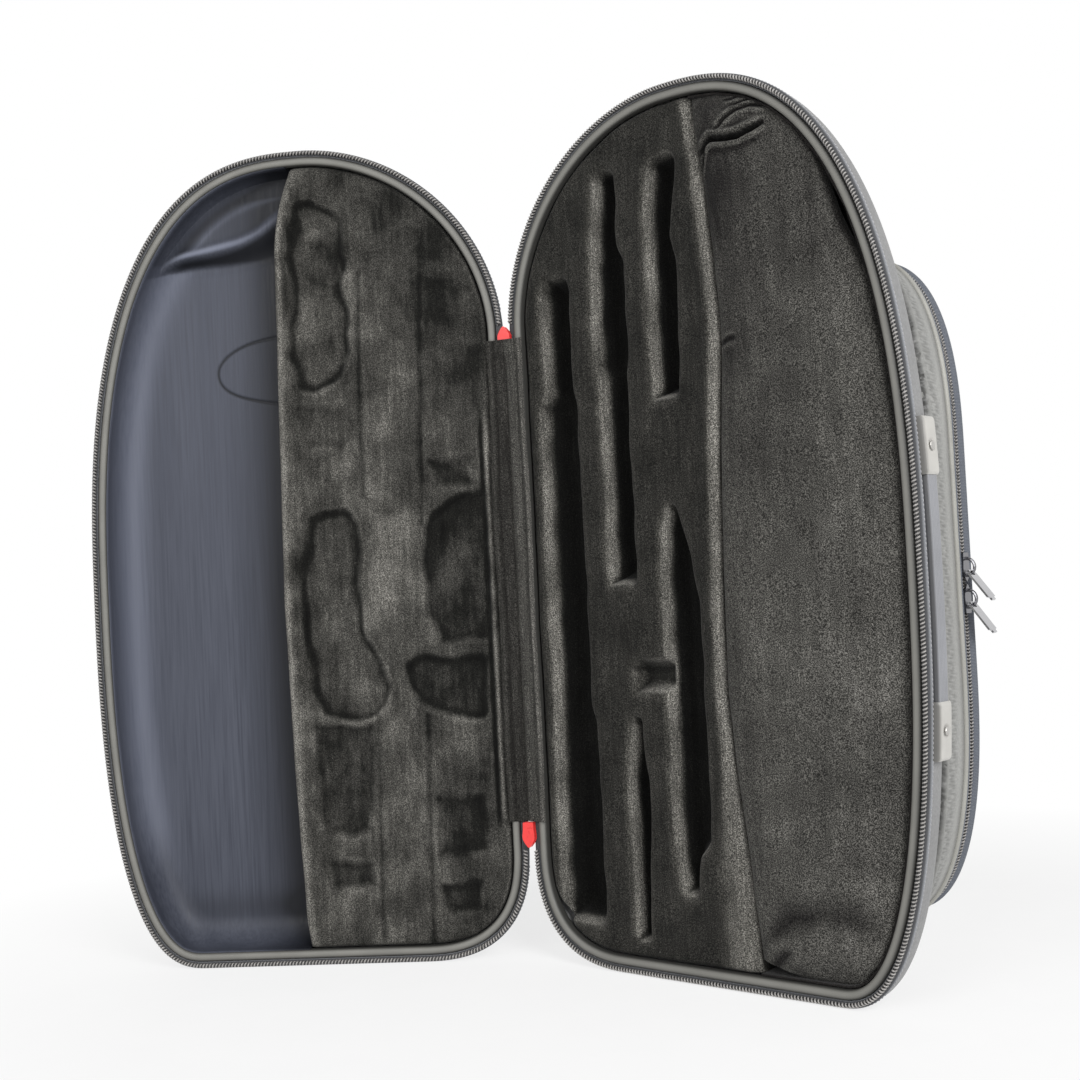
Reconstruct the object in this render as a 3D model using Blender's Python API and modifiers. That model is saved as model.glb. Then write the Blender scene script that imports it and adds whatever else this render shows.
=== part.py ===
"""Case for a flute and a piccolo, standing open like a book on its flat foot.

Two arched hard halves turn on a fabric hinge and close with a coil zip. The base half
holds a tray with stepped instrument channels and a padded cushion over a compartment, and
carries a side handle and a zipped pocket on its back. The lid half holds a velour pad and
an open lined compartment.

Each half is drawn in its own plan: u runs from the hinge axis across the half, d is the
depth behind the plane where the two zip coils meet, and z is the height above the foot.
"""

import math

import bmesh
import bpy
from mathutils import Matrix, Vector

COLLECTION_NAME = "flute_and_piccolo_case"
CUTTERS_NAME = "cutters"

# Outline of a half
CASE_HEIGHT = 0.480
CASE_WIDTH = 0.2540
HINGE_SETBACK = 0.0018
FOOT_START_SHARE = 0.25591
FOOT_END_SHARE = 0.76772
ARCH_APEX_SHARE = 0.46457
LOWER_CORNER_SHARE = 0.13542
WIDEST_SHARE = 0.46042
ARCH_START_SHARE = 0.75625
FOOT_START = FOOT_START_SHARE * CASE_WIDTH
FOOT_END = FOOT_END_SHARE * CASE_WIDTH
ARCH_APEX = ARCH_APEX_SHARE * CASE_WIDTH
LOWER_CORNER_TOP = LOWER_CORNER_SHARE * CASE_HEIGHT
WIDEST_HEIGHT = WIDEST_SHARE * CASE_HEIGHT
ARCH_START = ARCH_START_SHARE * CASE_HEIGHT
ARCH_POWER = 1.95
SHOULDER_POWER = 2.55
FLANK_POWER = 2.60
LOWER_CORNER_POWER = 2.50

# Opening between the halves in the rest pose
OPEN_ANGLE = math.radians(144.3)

# How finely outlines are drawn
SAMPLES_PER_QUARTER = 160
SAMPLES_PER_RUN = 40
OUTLINE_POINTS = 42
POCKET_POINTS = 38
BEND_WEIGHT = 0.45
FILLET_STEPS = 5

MITRE_LIMIT = 0.5

# Fits
SEAT_GAP = 0.0003
CUT_OVERRUN = 0.006

# Hard shells
WALL = 0.0024
LIP_DEPTH = 0.0050
BASE_DEPTH = 0.0320
LID_DEPTH = 0.0300
BASE_FILLET = 0.0200
LID_FILLET = 0.0180

# Zip: tape sewn inside the shell's lip, coil on its edge
COIL_RADIUS = 0.0011
COIL_INSET = 0.0014
COIL_SETBACK = 0.0005
TAPE_THICKNESS = 0.0006
TAPE_FRONT = 0.0015

# Rim band inside the tape
BAND_WIDTH = 0.0048
BAND_CROWN = 0.0012
BAND_FRONT = 0.0015
BAND_FLANGE = 0.0020

# Fabric hinge strip, a leaf on each half
LEAF_FROM_AXIS = 0.00035
LEAF_REACH = 0.0105
LEAF_FRONT = 0.00035
LEAF_THICKNESS = 0.0008
LEAF_LOW_MARGIN = 0.0140
LEAF_HIGH_MARGIN = 0.0110
LEAF_BOTTOM = LOWER_CORNER_TOP + LEAF_LOW_MARGIN
LEAF_TOP = ARCH_START - LEAF_HIGH_MARGIN

# Sliders of the main zip, parked at the ends of the hinge strip
MAIN_SLIDER_LENGTH = 0.0145
MAIN_SLIDER_HALF_WIDTH = 0.0038
MAIN_SLIDER_HALF_GAP = 0.0010
MAIN_SLIDER_PLATE = 0.0010
MAIN_SLIDER_POST_HALF = 0.0008
MAIN_EAR_HALF_GAP = 0.00070
MAIN_EAR_THICKNESS = 0.0007
MAIN_EAR_WIDTH = 0.0030
MAIN_PIN_DISTANCE = 0.0056
MAIN_PIN_RADIUS = 0.0007
MAIN_PULL_HALF_THICKNESS = 0.00040
MAIN_PULL_WIDTH = 0.0052
MAIN_PULL_LENGTH = 0.0200
MAIN_PULL_EYE = 0.0010
MAIN_PULL_CORNER_SHARE = 0.80
MAIN_POST_START_SHARE = 0.35
MAIN_POST_END_SHARE = 0.85

# Instrument tray and its soft surroundings
TRAY_FRONT = 0.0050
TRAY_ROUNDING = 0.0025
SOFT_INSET_GAP = 0.0004
CHANNEL_FLARE = 0.0028
CHANNEL_FLARE_DEPTH = 0.0040
CHANNEL_FLOOR_ROUNDING = 0.0040

# Right edge of the tray: (share of the height, share of the width)
TRAY_EDGE_SHARES = (
    (-0.06, 0.596), (0.027, 0.588), (0.131, 0.573), (0.235, 0.549), (0.319, 0.537),
    (0.444, 0.541), (0.600, 0.553), (0.715, 0.569), (0.800, 0.560), (0.912, 0.541),
    (0.975, 0.524), (1.06, 0.512),
)

# Depths of the channels' floors
FLUTE_FLOOR = 0.0240
PICCOLO_BODY_FLOOR = 0.0220
PICCOLO_HEAD_FLOOR = 0.0210
FINGER_FLOOR = 0.0150

# Channels: bottom and length as shares of the height, left side and width of the width
FLUTE_BODY_PLACE_SHARES = (0.04792, 0.76667, 0.06496, 0.12795)
FLUTE_HEAD_PLACE_SHARES = (0.44375, 0.48333, 0.23622, 0.09449)
FLUTE_FOOT_PLACE_SHARES = (0.65208, 0.27500, 0.38780, 0.09055)
PICCOLO_BODY_PLACE_SHARES = (0.09375, 0.43958, 0.38780, 0.09449)
PICCOLO_HEAD_PLACE_SHARES = (0.03750, 0.25417, 0.27165, 0.05512)
FINGER_PLACE_SHARES = (0.31875, 0.04167, 0.29528, 0.11811)

# Widths along each channel: (share of its length, share of width at left, at right)
FLUTE_BODY_SHARES = (
    (0.00, 0.08, 0.92), (0.02, 0.00, 1.00), (0.31, 0.00, 1.00), (0.33, 0.04, 0.91),
    (0.80, 0.04, 0.91), (0.82, 0.17, 0.85), (0.98, 0.17, 0.85), (1.00, 0.30, 0.75),
)
FLUTE_HEAD_SHARES = (
    (0.00, 0.12, 0.92), (0.50, 0.12, 0.92), (0.53, 0.00, 1.00), (0.77, 0.00, 1.00),
    (0.80, 0.08, 0.84), (0.98, 0.20, 0.80), (1.00, 0.35, 0.70),
)
FLUTE_FOOT_SHARES = (
    (0.00, 0.04, 0.80), (0.55, 0.04, 0.88), (0.66, 0.04, 0.72), (0.78, 0.06, 0.90),
    (0.97, 0.15, 1.00), (1.00, 0.35, 0.88),
)
PICCOLO_BODY_SHARES = (
    (0.00, 0.20, 0.60), (0.10, 0.02, 0.62), (0.14, 0.00, 1.00), (0.75, 0.00, 1.00),
    (0.86, 0.03, 0.86), (0.93, 0.08, 0.66), (1.00, 0.28, 0.46),
)
PICCOLO_HEAD_SHARES = (
    (0.00, 0.10, 0.70), (0.30, 0.05, 0.75), (0.55, 0.05, 0.98), (0.72, 0.05, 0.98),
    (0.84, 0.20, 0.80), (1.00, 0.42, 0.74),
)
FINGER_SLOT_SHARES = ((0.00, 0.08, 1.00), (0.30, 0.00, 1.00), (0.80, 0.00, 1.00), (1.00, 0.20, 1.00))

# Lining of the base compartment and its cushion
LINING_THICKNESS = 0.0010
COMPARTMENT_FILLET = 0.0120
CUSHION_SIDE_GAP = 0.0010
CUSHION_RIM_GAP = 0.0022
CUSHION_SEAM_DEPTH = 0.0100
CUSHION_CROWN = 0.0125
CUSHION_UNDERSIDE = 0.0070
CUSHION_END_WIDTH = 0.0180
CUSHION_FOOT_GAP = 0.0030
CUSHION_DRAWN_IN = 0.0022
CUSHION_FOLD_SHARE = 0.92917
CUSHION_FOLD_HEIGHT = CUSHION_FOLD_SHARE * CASE_HEIGHT
CUSHION_FOLD_DEPTH = 0.0050
CUSHION_FOLD_HALF_WIDTH = 0.0050
CUSHION_FOLD_REACH_SHARE = 0.55
CUSHION_ROWS = 30
CUSHION_COLUMNS = 12
CUSHION_EDGE_POWER = 3.2

# Velour pad of the lid
PAD_FRONT = 0.0045
PAD_ROUNDING = 0.0030
PAD_EDGE_SHARES = (
    (-0.06, 0.520), (0.020, 0.522), (0.034, 0.528), (0.050, 0.532), (0.235, 0.545),
    (0.444, 0.552), (0.650, 0.546), (0.890, 0.538), (0.930, 0.525), (0.965, 0.504),
    (0.985, 0.488), (1.06, 0.440),
)
DENT_DEPTH = 0.0030
DENT_FLARE = 0.0030

# Dents that the keys press into the pad: shares as for the channels
KEY_DENT_PLACE_SHARES = (
    (0.69375, 0.23333, 0.36614, 0.14173),
    (0.28750, 0.27083, 0.36614, 0.13386),
    (0.31875, 0.31250, 0.07087, 0.14173),
    (0.15208, 0.11667, 0.37008, 0.12598),
    (0.04792, 0.06250, 0.08661, 0.12992),
)
DENT_SHARES = ((0.00, 0.15, 0.85), (0.10, 0.00, 1.00), (0.90, 0.00, 1.00), (1.00, 0.15, 0.85))

# Lined compartment of the lid, with its moulded shelf at the top
LID_LINING_FRONT = 0.0030
LID_LINING_FILLET = 0.0165
SHELF_DEPTH = 0.0175
SHELF_EDGE_SHARES = (
    (0.400, 0.925), (0.540, 0.908), (0.600, 0.880), (0.690, 0.868), (0.780, 0.860),
    (0.840, 0.846), (1.06, 0.790),
)

# Handle on the far side of the base
HANDLE_DEPTH_FROM = 0.0070
HANDLE_STRAP_WIDTH = 0.0105
HANDLE_STRAP_THICKNESS = 0.0030
HANDLE_RIB = 0.0006
HANDLE_RIBS = 3
HANDLE_BOTTOM_SHARE = 0.25521
HANDLE_TOP_SHARE = 0.59688
HANDLE_BOTTOM = HANDLE_BOTTOM_SHARE * CASE_HEIGHT
HANDLE_TOP = HANDLE_TOP_SHARE * CASE_HEIGHT
HANDLE_TAB_LENGTH = 0.0285
HANDLE_TAB_THICKNESS = 0.0009
HANDLE_TAB_SIDE_GAP = 0.0004
RIVET_RADIUS = 0.0013
RIVET_HEAD_RADIUS = 0.0024
RIVET_HEAD_HEIGHT = 0.0007
RIVET_CROWN_SHARE = 0.55
RIVET_BROW_SHARE = 0.90
RIVET_BROW_HEIGHT_SHARE = 0.70

# Pocket on the back of the base
POCKET_NEAR = 0.0140
POCKET_FAR_MARGIN = 0.0055
POCKET_BOTTOM_SHARE = 0.07708
POCKET_TOP_SHARE = 0.78333
POCKET_STRAIGHT_BOTTOM_SHARE = 0.35000
POCKET_STRAIGHT_TOP_SHARE = 0.56875
POCKET_FAR = CASE_WIDTH - POCKET_FAR_MARGIN
POCKET_BOTTOM = POCKET_BOTTOM_SHARE * CASE_HEIGHT
POCKET_TOP = POCKET_TOP_SHARE * CASE_HEIGHT
POCKET_STRAIGHT_BOTTOM = POCKET_STRAIGHT_BOTTOM_SHARE * CASE_HEIGHT
POCKET_STRAIGHT_TOP = POCKET_STRAIGHT_TOP_SHARE * CASE_HEIGHT
POCKET_CORNER_REACH = 0.0485
POCKET_SPINE_CORNER = 0.0340
POCKET_CORNER_POWER = 2.60
GUSSET_THICKNESS = 0.0020
GUSSET_REAR = 0.0500
PIPING_RADIUS = 0.0016
PIPING_PROUD = 0.0006
POCKET_TAPE_INSET = 0.0009
POCKET_TAPE_LENGTH = 0.0062
POCKET_COIL_RADIUS = 0.0010
POCKET_COIL_GAP = 0.0013
COVER_TAPE_LENGTH = 0.0020
COVER_THICKNESS = 0.0042
COVER_ROUNDING = 0.0030
COVER_BROW_SHARE = 0.30
HINGE_BAND_THICKNESS = 0.0012

# Sliders of the pocket zip
SLIDER_LENGTH = 0.0145
SLIDER_HALF_WIDTH = 0.0036
SLIDER_PLATE = 0.0011
SLIDER_CLEARANCE = 0.0005
SLIDER_POST_HALF = 0.0003
SLIDER_POST_START_SHARE = 0.70
SLIDER_POST_END_SHARE = 0.90
SLIDER_PARK_GAP = 0.0015
UPPER_SLIDER_SHARE = 0.44479
UPPER_SLIDER_HEIGHT = UPPER_SLIDER_SHARE * CASE_HEIGHT
LOWER_SLIDER_HEIGHT = UPPER_SLIDER_HEIGHT - SLIDER_LENGTH - SLIDER_PARK_GAP
BAIL_RADIUS = 0.0043
BAIL_WIRE = 0.0009
PULL_WIDTH = 0.0080
PULL_THICKNESS = 0.0010
PULL_INNER = 0.0022
PULL_OUTER = 0.0215
PULL_EYE_HALF = 0.0014
PULL_CORNER_SHARE = 0.50
UPPER_PULL_ANGLE = math.radians(-52.0)
LOWER_PULL_ANGLE = math.radians(-53.0)

# Outline of a slider plate: (share of its length from the tail, share of its half width)
SHIELD_SHARES = (
    (0.00, 0.72), (0.03, 0.84), (0.30, 0.88), (0.52, 1.00), (0.66, 0.98), (0.84, 0.62),
    (0.96, 0.26), (1.00, 0.10),
)


def clear_scene():
    """Remove every object, mesh, curve, material and collection of the open file."""
    for item in list(bpy.data.objects):
        bpy.data.objects.remove(item, do_unlink=True)
    for store in (bpy.data.meshes, bpy.data.curves, bpy.data.materials, bpy.data.collections):
        for item in list(store):
            store.remove(item)


def new_collection(name):
    """A collection linked to the scene."""
    collection = bpy.data.collections.new(name)
    bpy.context.scene.collection.children.link(collection)
    return collection


def make_material(name, color, roughness, metallic=0.0):
    """A Principled material in one plain colour."""
    material = bpy.data.materials.new(name)
    material.use_nodes = True
    shader = material.node_tree.nodes["Principled BSDF"]
    shader.inputs["Base Color"].default_value = (*color, 1.0)
    shader.inputs["Roughness"].default_value = roughness
    shader.inputs["Metallic"].default_value = metallic
    material.diffuse_color = (*color, 1.0)
    return material


def superellipse(centre, reach, power, start_side):
    """A quarter superellipse as (u, z) points, from its side point or from its top point.

    reach holds the signed reaches along u and z from the centre.
    """
    points = []
    for step in range(SAMPLES_PER_QUARTER + 1):
        turn = step / SAMPLES_PER_QUARTER * math.pi / 2
        if not start_side:
            turn = math.pi / 2 - turn
        across = abs(math.cos(turn)) ** (2 / power)
        along = abs(math.sin(turn)) ** (2 / power)
        points.append(Vector((centre[0] + reach[0] * across, centre[1] + reach[1] * along)))
    return points


def straight(start, end):
    """Points of a straight run, without its ends."""
    steps = range(1, SAMPLES_PER_RUN)
    return [Vector(start).lerp(Vector(end), step / SAMPLES_PER_RUN) for step in steps]


def case_outline():
    """The outline of a half, clockwise from halfway up its hinge side."""
    hinge_middle = (HINGE_SETBACK, (LOWER_CORNER_TOP + ARCH_START) / 2)
    points = [Vector(hinge_middle)]
    points += straight(hinge_middle, (HINGE_SETBACK, ARCH_START))
    arch_rise = CASE_HEIGHT - ARCH_START
    points += superellipse(
        (ARCH_APEX, ARCH_START), (HINGE_SETBACK - ARCH_APEX, arch_rise), ARCH_POWER, True)
    shoulder = (CASE_WIDTH - ARCH_APEX, CASE_HEIGHT - WIDEST_HEIGHT)
    points += superellipse((ARCH_APEX, WIDEST_HEIGHT), shoulder, SHOULDER_POWER, False)[1:]
    flank = (CASE_WIDTH - FOOT_END, -WIDEST_HEIGHT)
    points += superellipse((FOOT_END, WIDEST_HEIGHT), flank, FLANK_POWER, True)[1:]
    points += straight((FOOT_END, 0), (FOOT_START, 0))
    corner = (HINGE_SETBACK - FOOT_START, -LOWER_CORNER_TOP)
    points += superellipse((FOOT_START, LOWER_CORNER_TOP), corner, LOWER_CORNER_POWER, False)
    points += straight((HINGE_SETBACK, LOWER_CORNER_TOP), hinge_middle)
    return points


def pocket_outline():
    """The outline of the pocket, clockwise from halfway up its spine side."""
    spine_middle = (POCKET_NEAR, (POCKET_BOTTOM + POCKET_TOP) / 2)
    spine_top = POCKET_TOP - POCKET_SPINE_CORNER
    spine_bottom = POCKET_BOTTOM + POCKET_SPINE_CORNER
    near_centre = POCKET_NEAR + POCKET_SPINE_CORNER
    far_centre = POCKET_FAR - POCKET_CORNER_REACH
    points = [Vector(spine_middle)]
    points += straight(spine_middle, (POCKET_NEAR, spine_top))
    points += superellipse(
        (near_centre, spine_top), (-POCKET_SPINE_CORNER, POCKET_SPINE_CORNER),
        POCKET_CORNER_POWER, True)
    points += straight((near_centre, POCKET_TOP), (far_centre, POCKET_TOP))
    points += superellipse(
        (far_centre, POCKET_STRAIGHT_TOP),
        (POCKET_CORNER_REACH, POCKET_TOP - POCKET_STRAIGHT_TOP), POCKET_CORNER_POWER, False)
    points += straight((POCKET_FAR, POCKET_STRAIGHT_TOP), (POCKET_FAR, POCKET_STRAIGHT_BOTTOM))
    points += superellipse(
        (far_centre, POCKET_STRAIGHT_BOTTOM),
        (POCKET_CORNER_REACH, POCKET_BOTTOM - POCKET_STRAIGHT_BOTTOM), POCKET_CORNER_POWER,
        True)
    points += straight((far_centre, POCKET_BOTTOM), (near_centre, POCKET_BOTTOM))
    points += superellipse(
        (near_centre, spine_bottom), (-POCKET_SPINE_CORNER, -POCKET_SPINE_CORNER),
        POCKET_CORNER_POWER, False)
    points += straight((POCKET_NEAR, spine_bottom), spine_middle)
    return points


def inward_normals(points):
    """Unit normals that point into a clockwise outline."""
    normals = []
    for index in range(len(points)):
        along = (points[(index + 1) % len(points)] - points[index - 1]).normalized()
        normals.append(Vector((along.y, -along.x)))
    return normals


def closed_stations(points, count):
    """Pick count stations round a dense outline, closer together where it bends."""
    normals = inward_normals(points)
    weights = [0.0]
    ends = len(points)
    span = sum((points[(i + 1) % ends] - points[i]).length for i in range(ends))
    for index in range(ends):
        after = (index + 1) % len(points)
        length = (points[after] - points[index]).length / span
        bend = normals[index].angle(normals[after], 0.0) / (2 * math.pi)
        weights.append(weights[-1] + (1 - BEND_WEIGHT) * length + BEND_WEIGHT * bend)
    stations = []
    cursor = 0
    for step in range(count):
        wanted = weights[-1] * step / count
        while cursor < ends - 1 and weights[cursor + 1] < wanted:
            cursor += 1
        reach = weights[cursor + 1] - weights[cursor]
        share = min(1.0, (wanted - weights[cursor]) / reach) if reach > 0 else 0.0
        after = (cursor + 1) % len(points)
        point = points[cursor].lerp(points[after], share)
        normal = normals[cursor].lerp(normals[after], share).normalized()
        stations.append((point, normal))
    return stations


def crossing(first, second, reach):
    """The station between two where a reach passes zero."""
    before = reach(first[0])
    share = before / (before - reach(second[0]))
    return (first[0].lerp(second[0], share), first[1].lerp(second[1], share))


def stretch(line, start_reach, end_reach):
    """The part of a line of stations from where one reach turns positive to where one ends."""
    first = next(i for i, station in enumerate(line) if start_reach(station[0]) > 0)
    back = next(i for i, station in enumerate(line[::-1]) if end_reach(station[0]) > 0)
    last = len(line) - 1 - back
    head = crossing(line[first - 1], line[first], start_reach)
    tail = crossing(line[last], line[last + 1], end_reach)
    return [head] + line[first:last + 1] + [tail]


def offset_point(station, inset, depth):
    """The point of the plan at an inset from the outline and at a depth."""
    point, normal = station
    return Vector((point.x + normal.x * inset, depth, point.y + normal.y * inset))


class Frame:
    """The place where a group of pieces is built: an empty, and whether its plan is mirrored."""

    def __init__(self, empty, origin, mirrored):
        self.empty = empty
        self.origin = Vector(origin)
        self.mirrored = mirrored

    def local(self, point):
        """A point of the plan in the empty's own space."""
        moved = Vector(point) - self.origin
        if self.mirrored:
            moved.x = -moved.x
        return moved


class Workshop:
    """Holds the collections and materials, and turns meshes into named pieces."""

    def __init__(self):
        clear_scene()
        self.parts = new_collection(COLLECTION_NAME)
        self.cutters = new_collection(CUTTERS_NAME)
        self.materials = {}

    def material(self, name, color, roughness, metallic=0.0):
        """Store a material under its name."""
        self.materials[name] = make_material(name, color, roughness, metallic)

    def empty(self, name, location, turn=0.0, parent=None):
        """An empty that carries pieces, on the axis that they turn about."""
        holder = bpy.data.objects.new(name, None)
        holder.location = location
        holder.rotation_euler = (0.0, 0.0, turn)
        holder.parent = parent
        self.parts.objects.link(holder)
        return holder

    def piece(self, name, mesh_builder, frame, material, shade=True):
        """Make a named object from a bmesh that is drawn in plan coordinates."""
        for vert in mesh_builder.verts:
            vert.co = frame.local(vert.co)
        item = self.finish(name, mesh_builder, self.parts, shade)
        item.parent = frame.empty
        item.data.materials.append(self.materials[material])
        return item

    def cutter(self, name, mesh_builder, frame):
        """Make a cutter from a bmesh that is drawn in plan coordinates."""
        for vert in mesh_builder.verts:
            vert.co = frame.local(vert.co)
        item = self.finish(name, mesh_builder, self.cutters, False)
        item.parent = frame.empty
        item.hide_render = True
        item.display_type = "WIRE"
        return item

    def finish(self, name, mesh_builder, collection, shade):
        """Turn a bmesh into an object with its faces pointing out."""
        bmesh.ops.recalc_face_normals(mesh_builder, faces=mesh_builder.faces)
        mesh_builder.normal_update()
        if any(edge.is_boundary for edge in mesh_builder.edges):
            floor = max(mesh_builder.faces, key=lambda face: face.calc_area())
            inside_out = floor.normal.y < 0
        else:
            inside_out = mesh_builder.calc_volume(signed=True) < 0
        if inside_out:
            bmesh.ops.reverse_faces(mesh_builder, faces=mesh_builder.faces)
        mesh = bpy.data.meshes.new(name)
        mesh_builder.to_mesh(mesh)
        mesh_builder.free()
        if shade:
            mesh.shade_smooth()
            mesh.set_sharp_from_angle(angle=math.radians(35))
        item = bpy.data.objects.new(name, mesh)
        collection.objects.link(item)
        return item


def boolean(item, operand, operation):
    """Add a Boolean modifier with the exact solver."""
    modifier = item.modifiers.new(f"{operation.lower()} {operand.name}", "BOOLEAN")
    modifier.operation = operation
    modifier.solver = "EXACT"
    modifier.object = operand


def loft(loops, wrap=False):
    """Skin equal loops of points; the first and last are capped, or joined when wrap is set."""
    skin = bmesh.new()
    rings = [[skin.verts.new(point) for point in loop] for loop in loops]
    pairs = list(zip(rings, rings[1:]))
    if wrap:
        pairs.append((rings[-1], rings[0]))
    for lower, upper in pairs:
        for index in range(len(lower)):
            after = (index + 1) % len(lower)
            skin.faces.new((lower[index], lower[after], upper[after], upper[index]))
    if not wrap:
        skin.faces.new(rings[0])
        skin.faces.new(list(reversed(rings[-1])))
    return skin


def sweep(stations, section, closed):
    """Run a closed section of (inset, depth) points along stations of an outline."""
    loops = [[offset_point(station, *corner) for corner in section] for station in stations]
    return loft(loops, wrap=closed)


def dish(stations, profile):
    """An open dish: loops at (inset, depth) from the rim to a flat floor."""
    skin = bmesh.new()
    rings = []
    for inset, depth in profile:
        rings.append([skin.verts.new(offset_point(s, inset, depth)) for s in stations])
    for lower, upper in zip(rings, rings[1:]):
        for index in range(len(lower)):
            after = (index + 1) % len(lower)
            skin.faces.new((lower[index], lower[after], upper[after], upper[index]))
    skin.faces.new(rings[-1])
    return skin


def add_wall(item, thickness):
    """Give an open surface its wall, inwards from its faces."""
    modifier = item.modifiers.new("wall", "SOLIDIFY")
    modifier.thickness = thickness
    modifier.offset = -1.0
    modifier.use_even_offset = True


def fillet_profile(inset, front, floor, radius):
    """A side that runs straight back and turns into a flat floor on a quarter round."""
    profile = [(inset, front)]
    for step in range(FILLET_STEPS + 1):
        turn = step / FILLET_STEPS * math.pi / 2
        profile.append((
            inset + radius * (1 - math.cos(turn)),
            floor - radius * (1 - math.sin(turn)),
        ))
    return profile


def share_curve(shares, value):
    """Read the second share at a first share, straight between the points."""
    for (low, a), (high, b) in zip(shares, shares[1:]):
        if low <= value <= high:
            return a + (b - a) * (value - low) / (high - low)
    return shares[0][1] if value < shares[0][0] else shares[-1][1]


def edge_u(shares, z):
    """Where an edge line lies across the half at a height."""
    return share_curve(shares, z / CASE_HEIGHT) * CASE_WIDTH


def slab_beyond_edge(shares, gap, far_side, front, rear):
    """A slab that fills one side of an edge line, to be taken off a piece."""
    outer = CASE_WIDTH + CUT_OVERRUN if far_side else -CUT_OVERRUN
    shift = gap if far_side else -gap
    line = [(u * CASE_WIDTH + shift, z * CASE_HEIGHT) for z, u in shares]
    corners = line + [(outer, line[-1][1]), (outer, line[0][1])]
    return loft([[Vector((u, depth, z)) for u, z in corners] for depth in (front, rear)])


def inset_polygon(corners, inset):
    """Move the sides of a small clockwise polygon inwards, or outwards below zero."""
    moved = []
    for index, corner in enumerate(corners):
        before = (corner - corners[index - 1]).normalized()
        after = (corners[(index + 1) % len(corners)] - corner).normalized()
        first = Vector((before.y, -before.x))
        second = Vector((after.y, -after.x))
        middle = (first + second).normalized()
        moved.append(corner + middle * inset / max(middle.dot(first), MITRE_LIMIT))
    return moved


def recess_outline(place_shares, shares):
    """A clockwise outline from the widths along a channel or dent."""
    bottom, length = (share * CASE_HEIGHT for share in place_shares[:2])
    left, width = (share * CASE_WIDTH for share in place_shares[2:])
    left_side = [Vector((left + a * width, bottom + s * length)) for s, a, _ in shares]
    right_side = [Vector((left + b * width, bottom + s * length)) for s, _, b in shares]
    return left_side + right_side[::-1]


def recess(place_shares, shares, front, floor, flare, flare_depth, rounding):
    """A cutter for a channel: rounded floor, upright sides and a flared mouth."""
    outline = recess_outline(place_shares, shares)
    levels = (
        (-flare, front - CUT_OVERRUN), (-flare, front), (-flare / 3, front + flare_depth / 2),
        (0, front + flare_depth), (0, floor - rounding),
        (rounding * (1 - math.cos(math.pi / 4)), floor - rounding * (1 - math.sin(math.pi / 4))),
        (rounding, floor),
    )
    return loft([
        [Vector((p.x, depth, p.y)) for p in inset_polygon(outline, inset)]
        for inset, depth in levels
    ])


def soft_block(stations, front, rounding, floor, fillet):
    """A foam block that fills a half: rounded front edge, and back that follows the shell."""
    inset = band_inner() + SOFT_INSET_GAP
    inner_radius = fillet - WALL - SEAT_GAP
    inner_side = WALL + SEAT_GAP
    loops = [
        (inset + rounding, front), (inset + rounding / 3, front + rounding / 3),
        (inset, front + rounding),
    ]
    for step in range(FILLET_STEPS + 1):
        turn = step / FILLET_STEPS * math.pi / 2
        along = inner_side + inner_radius * (1 - math.cos(turn))
        depth = floor - inner_radius * (1 - math.sin(turn))
        if along > inset:
            if loops[-1][0] == inset and len(loops) == 3:
                first = 1 - (inset - inner_side) / inner_radius
                loops.append((inset, floor - inner_radius * (1 - math.sqrt(1 - first ** 2))))
            loops.append((along, depth))
    return loft([[offset_point(s, *corner) for s in stations] for corner in loops])


def band_inner():
    """How far in from the outline the rim band ends."""
    return band_outer() + BAND_WIDTH


def band_outer():
    """How far in from the outline the rim band starts."""
    return WALL + SEAT_GAP + TAPE_THICKNESS + SEAT_GAP


def band_section(rear):
    """Section of the rim band: a rounded bead with a flange that is sewn down."""
    outer = band_outer()
    inner = band_inner()
    return (
        (outer, rear), (outer, BAND_FRONT + BAND_CROWN / 2),
        (outer + BAND_CROWN / 2, BAND_FRONT), (inner - BAND_CROWN, BAND_FRONT),
        (inner, BAND_FRONT + BAND_CROWN), (inner, BAND_FRONT + BAND_WIDTH),
        (outer + BAND_FLANGE, BAND_FRONT + BAND_WIDTH + BAND_CROWN),
        (outer + BAND_FLANGE, rear),
    )


def tape_section(rear):
    """Section of the zip tape, inside the shell's lip."""
    outer = WALL + SEAT_GAP
    inner = outer + TAPE_THICKNESS
    return ((outer, rear), (outer, TAPE_FRONT), (inner, TAPE_FRONT), (inner, rear))


def tube(workshop, name, points, radius, frame, material, closed, resolution=1):
    """A round wire or bead along points, as a curve with a bevel."""
    curve = bpy.data.curves.new(name, "CURVE")
    curve.dimensions = "3D"
    curve.bevel_depth = radius
    curve.bevel_resolution = resolution
    curve.use_fill_caps = True
    spline = curve.splines.new("POLY")
    spline.points.add(len(points) - 1)
    for knot, point in zip(spline.points, points):
        knot.co = (*frame.local(point), 1.0)
    spline.use_cyclic_u = closed
    item = bpy.data.objects.new(name, curve)
    item.parent = frame.empty
    curve.materials.append(workshop.materials[material])
    workshop.parts.objects.link(item)
    return item


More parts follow.
